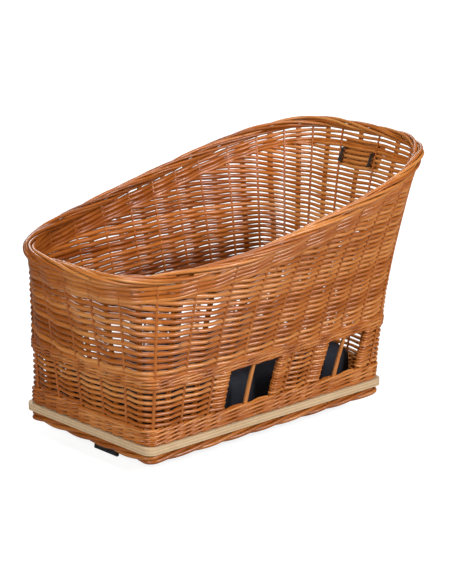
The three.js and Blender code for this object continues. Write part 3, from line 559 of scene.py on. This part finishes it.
# How far stakes reach below the board, stop below the rim and start above a window, and their points' step
STAKE_BELOW_BOARD, STAKE_BELOW_TOP, STAKE_ABOVE_WINDOW, STAKE_STEP = 8.0, 3.0, 2.0, 7.0
# The lone stakes in the windows: their thickness, and how much paler they are
LONE_LOW, LONE_HIGH, LONE_PALE = 6.6, 6.2, 0.4
# A stake's tint: the least, how much more it may be, and how much two of a pair differ
STAKE_TINT, TINT_SPREAD, PAIR_SPREAD = 0.1, 0.5, 0.06
# The stations between which the photo shows the wall's inside
INSIDE_FROM, INSIDE_TO = 0.82, 1.82


def inside_seen(station):
    turn = np.mod(station, 2.0)
    return (turn > INSIDE_FROM) & (turn < INSIDE_TO)


def stake_path(station, low, high, swing, sideways=0.0):
    """A stake leans out or in where the walling passes it, and stands in line at its foot and its top."""
    heights = np.linspace(low, high, max(4, int((high - low) / STAKE_STEP)))
    bent = np.interp(heights, [WALE_FOOT, WALE_TOP, WALE_TOP + 8, high - 16, high - 4], [0, 0.5, 1, 1, 0])
    points = wall(station, heights, swing * bent)
    if sideways:
        beside = wall(station + SLOPE_STEP / 2, heights, swing * bent) - points
        points = points + unit(beside) * sideways
    return points, (heights - low) / (high - low)


def add_stake(bundle, station, low, high, thick, thin, swing=0.0, doubled=False, size=1.0, pale=0.0):
    """A stake, or two side by side, of one darkish tint."""
    tint = STAKE_TINT + TINT_SPREAD * rng.random() + pale
    for side in ((-1, 1) if doubled else (0,)):
        points, part = stake_path(station, low, high, swing, side * size * (thick + thin) / 4)
        bundle.add(points, size * (thick + (thin - thick) * part), min(1, tint + rng.normal(0, PAIR_SPREAD)))


def is_doubled(index, station):
    """Every other stake is a pair: even ones where the photo shows the outside, odd ones elsewhere."""
    return (index % 2 == 0) != bool(inside_seen(station))


def swing_share(station, doubled):
    """Pairs swing fully, single stakes less, and least where the photo shows the inside."""
    if among(station, edge_stakes):
        return 0.3
    if doubled:
        return 1.0
    return 0.15 if inside_seen(station) else 0.3


def among(station, stations):
    return min(abs(station - other) for other in stations) < 1e-6


def station_of(place, side):
    return (place if side > 0 else 2 * HALF_ROUND - place) / HALF_ROUND


lone_stakes = {f"{name}_{end}": station_of(window[1], side) for name, side in (("near", 1), ("far", -1))
               for end, window in zip(("front", "rear"), windows_of(side))}
edge_stakes = [station_of(place, side) for side in (1, -1) for front, _, rear in windows_of(side)
               for place in (front - EDGE_SET_BACK, rear + EDGE_SET_BACK)]

stakes = Bundle()
for i, station in enumerate(high_stakes):
    whole = among(station, low_stakes)
    low = BOARD_BOTTOM - STAKE_BELOW_BOARD if whole else WINDOW_TOP + STAKE_ABOVE_WINDOW
    high = float(rim_height(station)) - STAKE_BELOW_TOP
    doubled = is_doubled(i, station)
    swing = (-1 if i % 2 == 0 else 1) * STAKE_SWING * swing_share(station, doubled)
    size = PAIRED if doubled else SINGLE_INSIDE if inside_seen(station) else SINGLE_OUTSIDE
    thick = STAKE_LOW + rng.normal(0, STAKE_SPREAD)
    add_stake(stakes, station, low, high, thick, STAKE_HIGH, swing, doubled, size)
stakes.piece("stakes", willow_rods, sides=8, bend=1.0, bend_size=30.0)
for name, station in lone_stakes.items():
    lone = Bundle()
    add_stake(lone, station, BOARD_BOTTOM - STAKE_BELOW_BOARD, MIDDLE_WALE_TOP - STAKE_BELOW_TOP,
              LONE_LOW, LONE_HIGH, pale=LONE_PALE)
    lone.piece("window_rod_" + name, willow_rods, sides=12, bend=1.0, stands_for=["window_stake_" + name])


# Rows of walling. At each station: a row's height, how much of it the rod fills, how much wider the rod
# is at a doubled stake than at a single one (narrower below 0), how far it swings outwards and inwards,
# how far the rows are lifted, and how much paler the rods are: paler at the front and the back, and darker
# along the far side, whose inside is seen, as painted shade
WALLING = np.array([
    (0, 10.4, 0.81, -0.04, 2.8, 1.4, 0, 0.4),
    (0.12, 10.4, 0.8, -0.06, 2.8, 1.4, 2, 0.25),
    (0.2, 9.6, 0.79, -0.1, 3.0, 1.2, 4, 0),
    (0.3, 8.8, 0.8, -0.15, 3.6, 1.2, 5, 0),
    (0.4, 8.3, 0.81, -0.17, 3.7, 1.2, 7, 0),
    (0.5, 8.0, 0.83, -0.17, 3.7, 1.2, 10, -0.05),
    (0.65, 7.5, 0.84, -0.16, 3.7, 1.2, 19, 0),
    (0.8, 7.1, 0.83, 0.0, 3.2, 1.2, 30, 0.15),
    (1.0, 6.8, 0.85, 0.1, 2.0, 1.4, 33, 0.35),
    (1.12, 6.9, 0.86, 0.1, 1.5, 1.4, 33, 0.0),
    (1.22, 7.5, 0.91, 0.08, 1.2, 1.3, 33, -0.4),
    (1.35, 7.9, 1.0, 0.05, 1.1, 1.2, 32, -0.6),
    (1.5, 7.9, 1.04, 0.04, 1.1, 1.2, 30, -0.7),
    (1.65, 8.2, 1.05, 0.04, 1.1, 1.2, 26, -0.7),
    (1.8, 9.0, 1.02, 0.05, 1.4, 1.3, 17, -0.55),
    (1.9, 9.8, 0.92, 0.0, 2.6, 1.4, 8, -0.15),
    (2.0, 10.4, 0.82, -0.04, 2.8, 1.4, 0, 0.15),
])
# The last column darkens the far side's rods as painted shade
ROW_STATIONS, ROW_PITCH, ROW_FILL, ROD_SWELL, SWING_OUT, SWING_IN, ROW_LIFT, ROW_PALENESS_AND_PAINTED_SHADE = WALLING.T
SWELL_SHARPNESS = 1.6
# Distance between the points of a rod, as a difference of station
STEP = 3.4 / HALF_ROUND
# A walling rod's length, its thickness at the butt, what it loses towards its tip, the shortest stretch
# that is left to a last one, and the most that a rod fills of its row
ROD_LENGTH, ROD_BUTT, ROD_TAPER, SHORTEST_STRETCH, FULLEST_ROW = 950.0, 1.06, 0.13, 0.12, 1.03
# How far a row wanders up and down, and how much a rod's thickness does
ROW_DRIFT, ROD_UNEVEN = 0.28, 0.03


def at_station(station, values):
    return np.interp(np.mod(station, 2.0), ROW_STATIONS, values)


def smooth_random(station, size, amount):
    """Slow random drift along a row."""
    knots = np.arange(-1, 4, size)
    return np.interp(station, knots, rng.normal(0, amount, len(knots)))


def row_stations(start, end):
    return np.linspace(start, end, max(4, int((end - start) / STEP)))


def rods_out(station, stakes_at):
    """How far out a row's rods are: outside even stakes, inside odd ones, further at a window's edge."""
    count = stake_count(station, stakes_at)
    n = len(stakes_at)
    even = np.arange(n) % 2 == 0
    at_stake = np.where(even, at_station(stakes_at, SWING_OUT), -at_station(stakes_at, SWING_IN))
    if n == len(low_stakes):
        edges = [i for i, place in enumerate(stakes_at) if among(place, edge_stakes)]
        at_stake[edges] = EDGE_SWING * np.sign(at_stake[edges])
    whole = np.floor(count).astype(int)
    before, after = at_stake[whole % n], at_stake[(whole + 1) % n]
    return before + (after - before) * (1 - np.cos(math.pi * (count - whole))) / 2


def swell(station, stakes_at):
    """Rods are wider or thinner where they go round a doubled stake than at the single ones."""
    wave = np.where(inside_seen(station), -1.0, 1.0) * np.cos(math.pi * stake_count(station, stakes_at))
    sharp = np.tanh(SWELL_SHARPNESS * wave) / math.tanh(SWELL_SHARPNESS)
    return 1 + at_station(station, ROD_SWELL) * sharp


def row_pitch(station):
    return at_station(station, ROW_PITCH)


def rod_size(station):
    """A rod's thickness: most of its row, and all of it on the far side."""
    return row_pitch(station) * at_station(station, ROW_FILL)


def add_row(bundle, start, end, height_at):
    """One row of the upper walling: rods that follow one another, each tapering towards its tip."""
    place = start
    while place < end - 1e-6:
        length = ROD_LENGTH * (0.8 + 0.4 * rng.random()) / HALF_ROUND
        stop = end if place + length > end - SHORTEST_STRETCH else place + length
        stations = row_stations(place, stop)
        height = height_at(stations) + smooth_random(stations, 0.06, ROW_DRIFT)
        part = (stations - place) / (stop - place)
        uneven = 1 + smooth_random(stations, 0.1, ROD_UNEVEN)
        thick = rod_size(stations) * (ROD_BUTT - ROD_TAPER * part) * uneven
        thick = np.minimum(thick * swell(stations, high_stakes), FULLEST_ROW * row_pitch(stations))
        points = wall(stations, height, rods_out(stations, high_stakes))
        # Rods on the far side are darkened here as painted shade
        bundle.add(points, thick, pale=at_station(stations, ROW_PALENESS_AND_PAINTED_SHADE))
        place = stop


# Upper walling: rows climb towards the back, and three more follow the rim at these depths below it,
# the first from its own stake and each next one from a stake that is further round
TOP_ROWS = (12.6, 19.4, 26.2)
FIRST_TOP_START, TOP_START_STEP = 5, 12
# Rows below number 0 rise out of the middle waling where the rows climb
ROW_NUMBERS = range(-8, 40)
# Rows crowd together no nearer than this to the middle waling and to the lowest of the top rows, and
# are woven where they would lie no more than the last value past those two
ROW_ABOVE_WALE, ROW_BELOW_TOP_ROWS, ROW_PAST = 0.9, 4.4, 2.0


def open_stretches(stations, wanted):
    """Stretches of a closed run of stations where something holds."""
    if wanted.all():
        return [(stations[0], stations[0] + 2)]
    shifted = np.roll(wanted, 1)
    starts = stations[wanted & ~shifted]
    ends = stations[~wanted & shifted]
    ends = np.concatenate([ends, ends + 2])
    return [(start, ends[ends > start][0]) for start in starts]


def next_inside(station, step):
    """The next stake, up or down, that the rows of the upper walling pass on the inside."""
    count = stake_count(station, high_stakes)
    whole = math.ceil(count) if step > 0 else math.floor(count)
    while whole % 2 == 0:
        whole += step
    n = len(high_stakes)
    return high_stakes[whole % n] + 2 * (whole // n)


def row_height(number):
    """A function that gives a row's height at a station."""
    def height_at(station):
        height = MIDDLE_WALE_TOP + (number + 0.5) * row_pitch(station) + at_station(station, ROW_LIFT)
        highest = rim_height(station) - TOP_ROWS[-1] - ROW_BELOW_TOP_ROWS
        return np.clip(height, MIDDLE_WALE_TOP + ROW_ABOVE_WALE, highest)
    return height_at


even_rows, odd_rows = Bundle(), Bundle()
around = np.linspace(0, 2, RIM_STEPS // 2, endpoint=False)
rim_around = rim_height(around)
for number in ROW_NUMBERS:
    height_at = row_height(number)
    heights = height_at(around)
    wanted = (heights > MIDDLE_WALE_TOP - ROW_PAST) & (heights < rim_around - TOP_ROWS[-1] - ROW_PAST)
    if not wanted.any():
        continue
    for start, stop in open_stretches(around, wanted):
        if stop - start < 2:
            start, stop = next_inside(start, -1), next_inside(stop, 1)
        else:
            start = high_stakes[rng.integers(0, len(high_stakes) // 2) * 2 + 1]
            stop = start + 2
        add_row(odd_rows if number % 2 else even_rows, start, stop, height_at)
for i, depth in enumerate(TOP_ROWS):
    start = high_stakes[FIRST_TOP_START + TOP_START_STEP * i]
    bundle = odd_rows if i % 2 else even_rows
    add_row(bundle, start, start + 2, lambda station, depth=depth: rim_height(station) - depth)
even_rows.piece("upper_walling_even_rows", willow_rods, bend=0.8,
                stands_for=["upper_siding_front", "upper_siding_near"])
odd_rows.piece("upper_walling_odd_rows", willow_rods, bend=0.8,
               stands_for=["upper_siding_rear", "upper_siding_far"])

# Lower walling between the windows: level rows whose ends wrap round the windows' edge stakes. Each part
# with its CAD node and its number of rows, round the basket from the front along the near side
LOW_WALLING = (
    ("front", "lower_siding_front", 7),
    ("pier_near", "window_pier_near", 8),
    ("rear", "lower_siding_rear", 8),
    ("pier_far", "window_pier_far", 8),
)
# The share of a row that its rod fills, and of the rod that is left where it wraps round an end
LOW_FILL, WRAPPED_SHARE = 0.7, 0.86
# How far an end moves up or down before it goes back in, for a row and for a binding rod, and that rod
ROW_DROP, BINDING_DROP, BINDING_ROD = 2.2, 1.2, 3.5
# How far from its stake a binding rod begins and is about to bend, and how far an end runs on after that
LEAD_FROM, LEAD_TO, TAIL_LENGTH = 16, 2, 9


def wrap_end(station, height, toward, outside, drop):
    """Points that carry a row's end round its edge stake and back on the other side."""
    turn = np.linspace(0, math.pi, 9)[1:]
    round_stake = EDGE_SWING * np.sin(turn) * toward / HALF_ROUND
    tail = np.linspace(0, TAIL_LENGTH, 4)[1:]
    past = np.concatenate([round_stake, -tail * toward / HALF_ROUND])
    out = np.pad(EDGE_SWING * np.cos(turn) * outside, (0, len(tail)), mode="edge")
    fall = np.pad(np.linspace(0, 1, len(turn) + 1)[1:], (0, len(tail)), mode="edge")
    return wall(station + past, height + drop * fall, out)


def add_binding(bundle, station, height, toward, outside):
    """A thin rod that comes out of the walling, goes round a window's edge stake and back in."""
    lead = np.linspace(LEAD_FROM, LEAD_TO, 6)
    out = EDGE_SWING * outside * np.array([-0.2, 0.3, 0.7, 0.95, 1, 1])
    into = wall(station - lead * toward / HALF_ROUND, height, out)
    end = wrap_end(station, height, toward, outside, BINDING_DROP)
    bundle.add(np.concatenate([into, end]), BINDING_ROD + rng.normal(0, 0.15))


def add_wrapped_row(bundle, start, end, height, diameter):
    """A level row between two windows, with both ends wrapped round their edge stakes."""
    stations = row_stations(start, end)
    out = rods_out(stations, low_stakes)
    drift = smooth_random(stations, 0.05, 0.4)
    body = wall(stations, height + drift, out)
    drop = ROW_DROP * (1 if rng.random() < 0.5 else -1)
    head = wrap_end(start, height + drift[0], -1, np.sign(out[0]), drop)[::-1]
    tail = wrap_end(end, height + drift[-1], 1, np.sign(out[-1]), drop)
    thick = diameter * swell(stations, low_stakes)
    thick = np.pad(thick, len(tail), constant_values=diameter * WRAPPED_SHARE)
    thick *= 1 + rng.normal(0, ROD_UNEVEN)
    # Rods on the far side are darkened here as painted shade
    pale = np.pad(at_station(stations, ROW_PALENESS_AND_PAINTED_SHADE), len(tail), mode="edge")
    bundle.add(np.concatenate([head, body, tail]), thick, pale=pale)


edges = sorted(edge_stakes)
edges.insert(0, edges.pop() - 2)
for (name, stands_for, count), start, stop in zip(LOW_WALLING, edges[::2], edges[1::2]):
    rows = Bundle()
    low_pitch = (WINDOW_TOP - WALE_TOP) / count
    for j in range(count):
        height = WALE_TOP + (j + 0.5) * low_pitch
        diameter = LOW_FILL * low_pitch + rng.normal(0, 0.15)
        add_wrapped_row(rows, start, stop, height, diameter)
        for station, toward in ((start, -1), (stop, 1)):
            outside = float(np.sign(rods_out(np.array([station]), low_stakes))[0])
            add_binding(rows, station, height + low_pitch / 2, toward, outside)
    rows.piece("lower_walling_" + name, willow_rods, bend=0.6, stands_for=[stands_for])


# Waling: three rods wind round the stakes, each passing two outside and one inside, and their middles
# sink towards the stakes by the last value, compared with lying on them
WALE_RODS, WALE_SHARPNESS, WALE_OUTWARD, WALE_SINK = 3, 2.6, 0.25, 1.3


def add_wale(bundle, height, diameter, stakes_at, start, lift):
    for rod in range(WALE_RODS):
        stations = row_stations(start, start + 2 + WALE_RODS / len(stakes_at))
        count = stake_count(stations, stakes_at)
        angle = 2 * math.pi * (count + rod) / WALE_RODS + math.pi / 3
        most = math.tanh(WALE_SHARPNESS * (1 + WALE_OUTWARD))
        out = np.tanh(WALE_SHARPNESS * (np.cos(angle) + WALE_OUTWARD)) / most
        drift = smooth_random(stations, 0.08, 0.25)
        reach = STAKE_LOW / 2 + diameter / 2 - WALE_SINK
        thick = diameter * (1 + smooth_random(stations, 0.12, 0.05))
        points = wall(stations, height + np.sin(angle) * diameter * lift + drift, out * reach)
        # Rods on the far side are darkened here as painted shade
        bundle.add(points, thick, pale=at_station(stations, ROW_PALENESS_AND_PAINTED_SHADE))


def waling(name, stands_for, rows, first, pitch, diameter, stakes_at, start, step, lift):
    """Rows of waling, each a pitch higher than the last and begun a step further round."""
    bundle = Bundle()
    for i in range(rows):
        add_wale(bundle, first + i * pitch, diameter, stakes_at, start + step * i, lift)
    bundle.piece(name, willow_rods, bend=0.5, stands_for=[stands_for])


waling("bottom_waling", "bottom_wale", rows=4, first=WALE_FOOT + 3.6, pitch=6.2, diameter=4.4,
       stakes_at=low_stakes, start=0.31, step=0.6, lift=0.4)
waling("middle_waling", "middle_wale", rows=3, first=WINDOW_TOP + 2.4, pitch=4.7, diameter=3.9,
       stakes_at=high_stakes, start=0.9, step=0.5, lift=0.3)

# Border: strands that wind round the rim, each over a stretch of stations, and tuck in at their ends
STRANDS, STRAND_LENGTH, STRAND_TURNS, STRAND_PHASE = 33, 0.48, -5.0, 2.4
STRAND_RADIUS, STRAND_THICKNESS, STRAND_TUCK, STRAND_TIP, STRAND_END = 6.6, 5.1, 0.3, 0.72, 0.16
STRAND_STEPS, STRAND_PALE = 150, 0.15
LENGTH_SPREAD, RADIUS_SPREAD, THICKNESS_SPREAD = 0.05, 0.4, 0.35


def rim_frame(station):
    """Points of the rim, with the directions across it and up from it."""
    share, side = share_and_side(station)
    x, y, z = rim_line(share)
    centre = np.stack([x, side * y, z], -1)
    ahead = rim_line(np.clip(share + SLOPE_STEP / 2, 0, 1))
    behind = rim_line(np.clip(share - SLOPE_STEP / 2, 0, 1))
    tangent = np.stack([ahead[0] - behind[0], side * (ahead[1] - behind[1]), ahead[2] - behind[2]], -1)
    tangent = unit(tangent * side[:, None])
    across = unit(np.stack([tangent[:, 1], -tangent[:, 0], np.zeros(len(tangent))], -1))
    return centre, across, -np.cross(tangent, across)


def add_border_strand(bundle, start, length, angle, radius, diameter):
    stations = np.linspace(start, start + length, int(length * STRAND_STEPS) + 8)
    centre, across, up = rim_frame(stations)
    part = (stations - start) / length
    turn = angle + 2 * math.pi * STRAND_TURNS * stations / 2
    ends = np.clip(np.minimum(part, 1 - part) / STRAND_END, 0, 1)
    ends = ends * ends * (3 - 2 * ends)
    out = radius * (STRAND_TUCK + (1 - STRAND_TUCK) * ends)
    points = centre + across * (out * np.cos(turn))[:, None] + up * (out * np.sin(turn))[:, None]
    thick = diameter * (STRAND_TIP + (1 - STRAND_TIP) * ends)
    # Strands on the far side are darkened here as painted shade
    bundle.add(points, thick, pale=STRAND_PALE + at_station(stations, ROW_PALENESS_AND_PAINTED_SHADE))


border = [Bundle(), Bundle(), Bundle()]
for i in range(STRANDS):
    length = STRAND_LENGTH + LENGTH_SPREAD * rng.random()
    radius = STRAND_RADIUS + rng.normal(0, RADIUS_SPREAD)
    diameter = STRAND_THICKNESS + rng.normal(0, THICKNESS_SPREAD)
    add_border_strand(border[i % 3], 2 * i / STRANDS, length, STRAND_PHASE * i, radius, diameter)
for letter, bundle in zip("abc", border):
    bundle.piece("border_strands_" + letter, border_rods, sides=10, bend=1.4, bend_size=25.0,
                 stands_for=["border_rod_" + letter], slot="willow_border")

# Foot: thick strands twisted under the board, how far they go sideways and up, and how low they lie
FOOT_STRANDS, FOOT_TURNS, FOOT_THICKNESS, FOOT_POINTS = 3, 9, 6.6, 699
FOOT_SIDEWAYS, FOOT_UPWARDS, FOOT_DROP = 4.1, 3.7, 9.5
foot = Bundle()
for rod in range(FOOT_STRANDS):
    stations = np.linspace(0, 2, FOOT_POINTS, endpoint=False)
    angle = 2 * math.pi * (rod / FOOT_STRANDS + FOOT_TURNS * stations / 2)
    ring = wall(stations, BOARD_TOP, FOOT_SIDEWAYS * np.cos(angle))
    ring[:, 2] = BOARD_BOTTOM - FOOT_DROP + FOOT_UPWARDS * np.sin(angle)
    foot.add(ring, FOOT_THICKNESS, closed=True)
foot.piece("foot_strands", border_rods, sides=10, bend=0.8, stands_for=["foot_border"], slot="willow_border")

# Cushion, in metres: the foam's size before it swells, as a share of its CAD solid, its voxels, the
# pressure in it, how far it swells and for how many frames; then the cover's reach and its stretch
FOAM_SHARE, VOXEL, PRESSURE, MOST_SWELLING, SWELL_FRAMES = 0.985, 0.006, 4.0, 0.006, 20
COVER_HALF_LENGTH, COVER_HALF_WIDTH = (BOARD_LENGTH / 2 - 16.5) * MM, (BOARD_WIDTH / 2 - 20) * MM
COVER_LONGER, COVER_CORNERS, COVER_HIGHER, COVER_ABOVE = 1.02, 0.035, 1.2, 0.006


def make_cushion():
    """Cushion of cloth over foam: the frame's shape, swelled a little by a cloth simulation."""
    mesh = nodes["seat_cushion"].data.copy()
    shape = add_object("cushion", mesh)
    low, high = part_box("seat_cushion")
    work = bmesh.new()
    work.from_mesh(mesh)
    bmesh.ops.remove_doubles(work, verts=work.verts, dist=1e-5)
    centre = (low + high) / 2
    for vertex in work.verts:
        vertex.co = centre + (vertex.co - centre) * FOAM_SHARE
    work.to_mesh(mesh)
    work.free()
    mesh.materials.clear()
    mesh.materials.append(cloth_finish)
    remesh = shape.modifiers.new("remesh", "REMESH")
    remesh.mode, remesh.voxel_size = "VOXEL", VOXEL
    made = evaluated_copy(shape, "cushion_cover")
    bpy.data.objects.remove(shape)
    rest = np.array([v.co for v in made.data.vertices])
    pressed = made.modifiers.new("cloth", "CLOTH")
    pressed.settings.use_pressure = True
    pressed.settings.uniform_pressure_force = PRESSURE
    pressed.settings.effector_weights.gravity = 0.0
    pressed.point_cache.frame_start, pressed.point_cache.frame_end = 1, SWELL_FRAMES
    for step in range(1, SWELL_FRAMES + 1):
        bpy.context.scene.frame_set(step)
        bpy.context.view_layer.update()
    view = bpy.context.evaluated_depsgraph_get()
    moved = np.array([v.co for v in made.evaluated_get(view).data.vertices])
    made.modifiers.remove(pressed)
    bpy.context.scene.frame_set(1)
    shift = moved - rest
    length = np.linalg.norm(shift, axis=1)
    rest += shift * (np.minimum(length, MOST_SWELLING) / np.maximum(length, 1e-9))[:, None]
    # The cover fills out towards the walls, more so at its corners, and stands higher than the foam
    u, v = rest[:, 0] / COVER_HALF_LENGTH, rest[:, 1] / COVER_HALF_WIDTH
    fuller = 1 + COVER_CORNERS * np.minimum(np.abs(u * v), 1) ** 2
    rest[:, 0] = np.clip(rest[:, 0] * COVER_LONGER * fuller, -COVER_HALF_LENGTH, COVER_HALF_LENGTH)
    rest[:, 1] = np.clip(rest[:, 1] * fuller, -COVER_HALF_WIDTH, COVER_HALF_WIDTH)
    rest[:, 2] = np.clip(low.z + (rest[:, 2] - low.z) * COVER_HIGHER, low.z, high.z + COVER_ABOVE)
    made.data.vertices.foreach_set("co", rest.astype(np.float32).ravel())
    made.data.update()
    uv = made.data.uv_layers.new(name="weave")
    for polygon in made.data.polygons:
        polygon.use_smooth = True
        x, y, z = (abs(value) for value in polygon.normal)
        first, second = (0, 1) if z > 0.7 else (1, 2) if x > y else (0, 2)
        for loop in polygon.loop_indices:
            place = made.data.vertices[made.data.loops[loop].vertex_index].co
            uv.data[loop].uv = (place[first], place[second])
    ride(made, "cushion", ["seat_cushion"])


make_cushion()

# Latch spring: its wire, its turns, the part of a turn that lies flat at each end, and its facets
SPRING_WIRE, SPRING_TURNS, SPRING_END_TURN = 1.2 * MM, 4.0, 0.7
SPRING_STEPS, SPRING_SIDES = 144, 12


def make_spring():
    """A coil of round wire with closed ends, at rest: it stays as it is here and does not shorten towards
    the roof as the lever is squeezed.
    """
    low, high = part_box("lever_spring")
    middle, half_wire = (low + high) / 2, SPRING_WIRE / 2
    radius = (high.x - low.x - SPRING_WIRE) / 2
    turn = np.linspace(0, SPRING_TURNS, SPRING_STEPS + 1)
    flat = 1.2 * half_wire
    height = np.interp(turn, [0, SPRING_END_TURN, SPRING_TURNS - SPRING_END_TURN, SPRING_TURNS],
                       [low.z + half_wire, low.z + flat, high.z - flat, high.z - half_wire])
    verts, faces = [], []
    for angle, z in zip(turn * math.tau, height):
        for side in np.linspace(0, math.tau, SPRING_SIDES, endpoint=False):
            reach = radius + half_wire * math.cos(side)
            verts.append((middle.x + reach * math.cos(angle), middle.y + reach * math.sin(angle),
                          z + half_wire * math.sin(side)))
    for ring in range(0, SPRING_STEPS * SPRING_SIDES, SPRING_SIDES):
        for i in range(ring, ring + SPRING_SIDES):
            j = ring + (i + 1 - ring) % SPRING_SIDES
            faces.append((i, i + SPRING_SIDES, j + SPRING_SIDES, j))
    faces.append(tuple(range(SPRING_SIDES)))
    faces.append(tuple(reversed(range(len(verts) - SPRING_SIDES, len(verts)))))
    mesh = bpy.data.meshes.new("latch_spring")
    mesh.from_pydata(verts, [], faces)
    mesh.shade_smooth()
    mesh.materials.append(zinc_finish)
    made = add_object("latch_spring", mesh)
    ride(made, "basket", ["lever_spring"])
    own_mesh(made)


make_spring()

# Floor and world: their light, and how the floor's shine to the camera grows with distance
FLOOR_HALF, FLOOR_GREY, WORLD_LIGHT, WHITE = 9.0, 0.35, 0.07, (1, 1, 1, 1)
SHINE_NEAR, SHINE_FAR, SHINE_FROM, SHINE_TO = 0.84, 1.0, 0.6, 2.6
# Lamps: name, place, size and power
LAMPS = (
    ("key", (0.9, -2.9, 1.7), (0.9, 0.7), 116),
    ("top", (-0.7, -0.2, 2.9), (1.2, 1.2), 46),
    ("behind", (1.7, 2.6, 1.5), (1.4, 1.0), 24),
    ("fill", (-2.9, -0.9, 1.5), (1.2, 1.2), 68),
)
LAMP_TARGET = Vector((0.03, 0, 0.15))
# Camera, as fitted to the photo: its focal length is in pixels of a picture 584 high
AZIMUTH, ELEVATION, DISTANCE = math.radians(-42.6), math.radians(16.4), 3.4
CAMERA_TARGET = Vector((0.0404, 0.0, 0.2017))
SENSOR, FOCAL_PIXELS, PICTURE_HEIGHT = 36.0, 2205, 584


def plain_floor():
    """A pale floor that keeps the shadow; further out, where the lamps reach less, it shines more."""
    mesh = bpy.data.meshes.new("floor")
    corners = [(x * FLOOR_HALF, y * FLOOR_HALF, 0) for x, y in ((-1, -1), (1, -1), (1, 1), (-1, 1))]
    mesh.from_pydata(corners, [], [(0, 1, 2, 3)])
    m = Finish("white floor")
    m.tree.nodes.remove(m.shader)
    away = m.node("ShaderNodeVectorMath", {0: m.place}, operation="LENGTH").outputs["Value"]
    shine = m.span(away, SHINE_FROM, SHINE_TO, SHINE_NEAR, SHINE_FAR)
    seen = m.times(m.node("ShaderNodeLightPath").outputs["Is Camera Ray"], shine)
    matt = m.node("ShaderNodeBsdfDiffuse", {"Color": (FLOOR_GREY, FLOOR_GREY, FLOOR_GREY, 1)})
    glow = m.node("ShaderNodeEmission", {"Color": WHITE, "Strength": seen})
    both = m.node("ShaderNodeAddShader", {0: matt.outputs[0], 1: glow.outputs[0]})
    m.put(both.outputs[0], m.tree.nodes["Material Output"].inputs["Surface"])
    mesh.materials.append(m.material)
    add_object("floor", mesh)


def white_world():
    """White to the camera, and a little warm light to everything else."""
    world = bpy.data.worlds.new("studio")
    bpy.context.scene.world = world
    world.use_nodes = True
    t = Tree(world.node_tree)
    t.tree.nodes.clear()
    soft = t.node("ShaderNodeBackground", {"Color": (1.0, 0.99, 0.97, 1), "Strength": WORLD_LIGHT})
    white = t.node("ShaderNodeBackground", {"Color": WHITE, "Strength": 1.0})
    camera_ray = t.node("ShaderNodeLightPath").outputs["Is Camera Ray"]
    mix = t.node("ShaderNodeMixShader", {0: camera_ray, 1: soft.outputs[0], 2: white.outputs[0]})
    t.node("ShaderNodeOutputWorld", {0: mix.outputs[0]})


def aimed(name, data, place, direction):
    made = add_object(name, data)
    made.location = place
    made.rotation_mode = "QUATERNION"
    made.rotation_quaternion = direction.to_track_quat("-Z", "Y")
    return made


def softbox(name, place, size, power):
    light = bpy.data.lights.new(name, "AREA")
    light.shape, light.size, light.size_y = "RECTANGLE", size[0], size[1]
    light.energy = power
    aimed(name, light, place, LAMP_TARGET - Vector(place))


def photo_camera():
    level = math.cos(ELEVATION)
    back = Vector((math.sin(AZIMUTH) * level, -math.cos(AZIMUTH) * level, math.sin(ELEVATION)))
    data = bpy.data.cameras.new("photo view")
    data.sensor_width, data.lens = SENSOR, SENSOR * FOCAL_PIXELS / PICTURE_HEIGHT
    data.clip_start, data.clip_end = 0.05, 60
    bpy.context.scene.camera = aimed("photo view", data, CAMERA_TARGET + back * DISTANCE, -back)


plain_floor()
white_world()
for name, place, size, power in LAMPS:
    softbox(name, place, size, power)
photo_camera()
bpy.context.scene.view_settings.view_transform = "Standard"
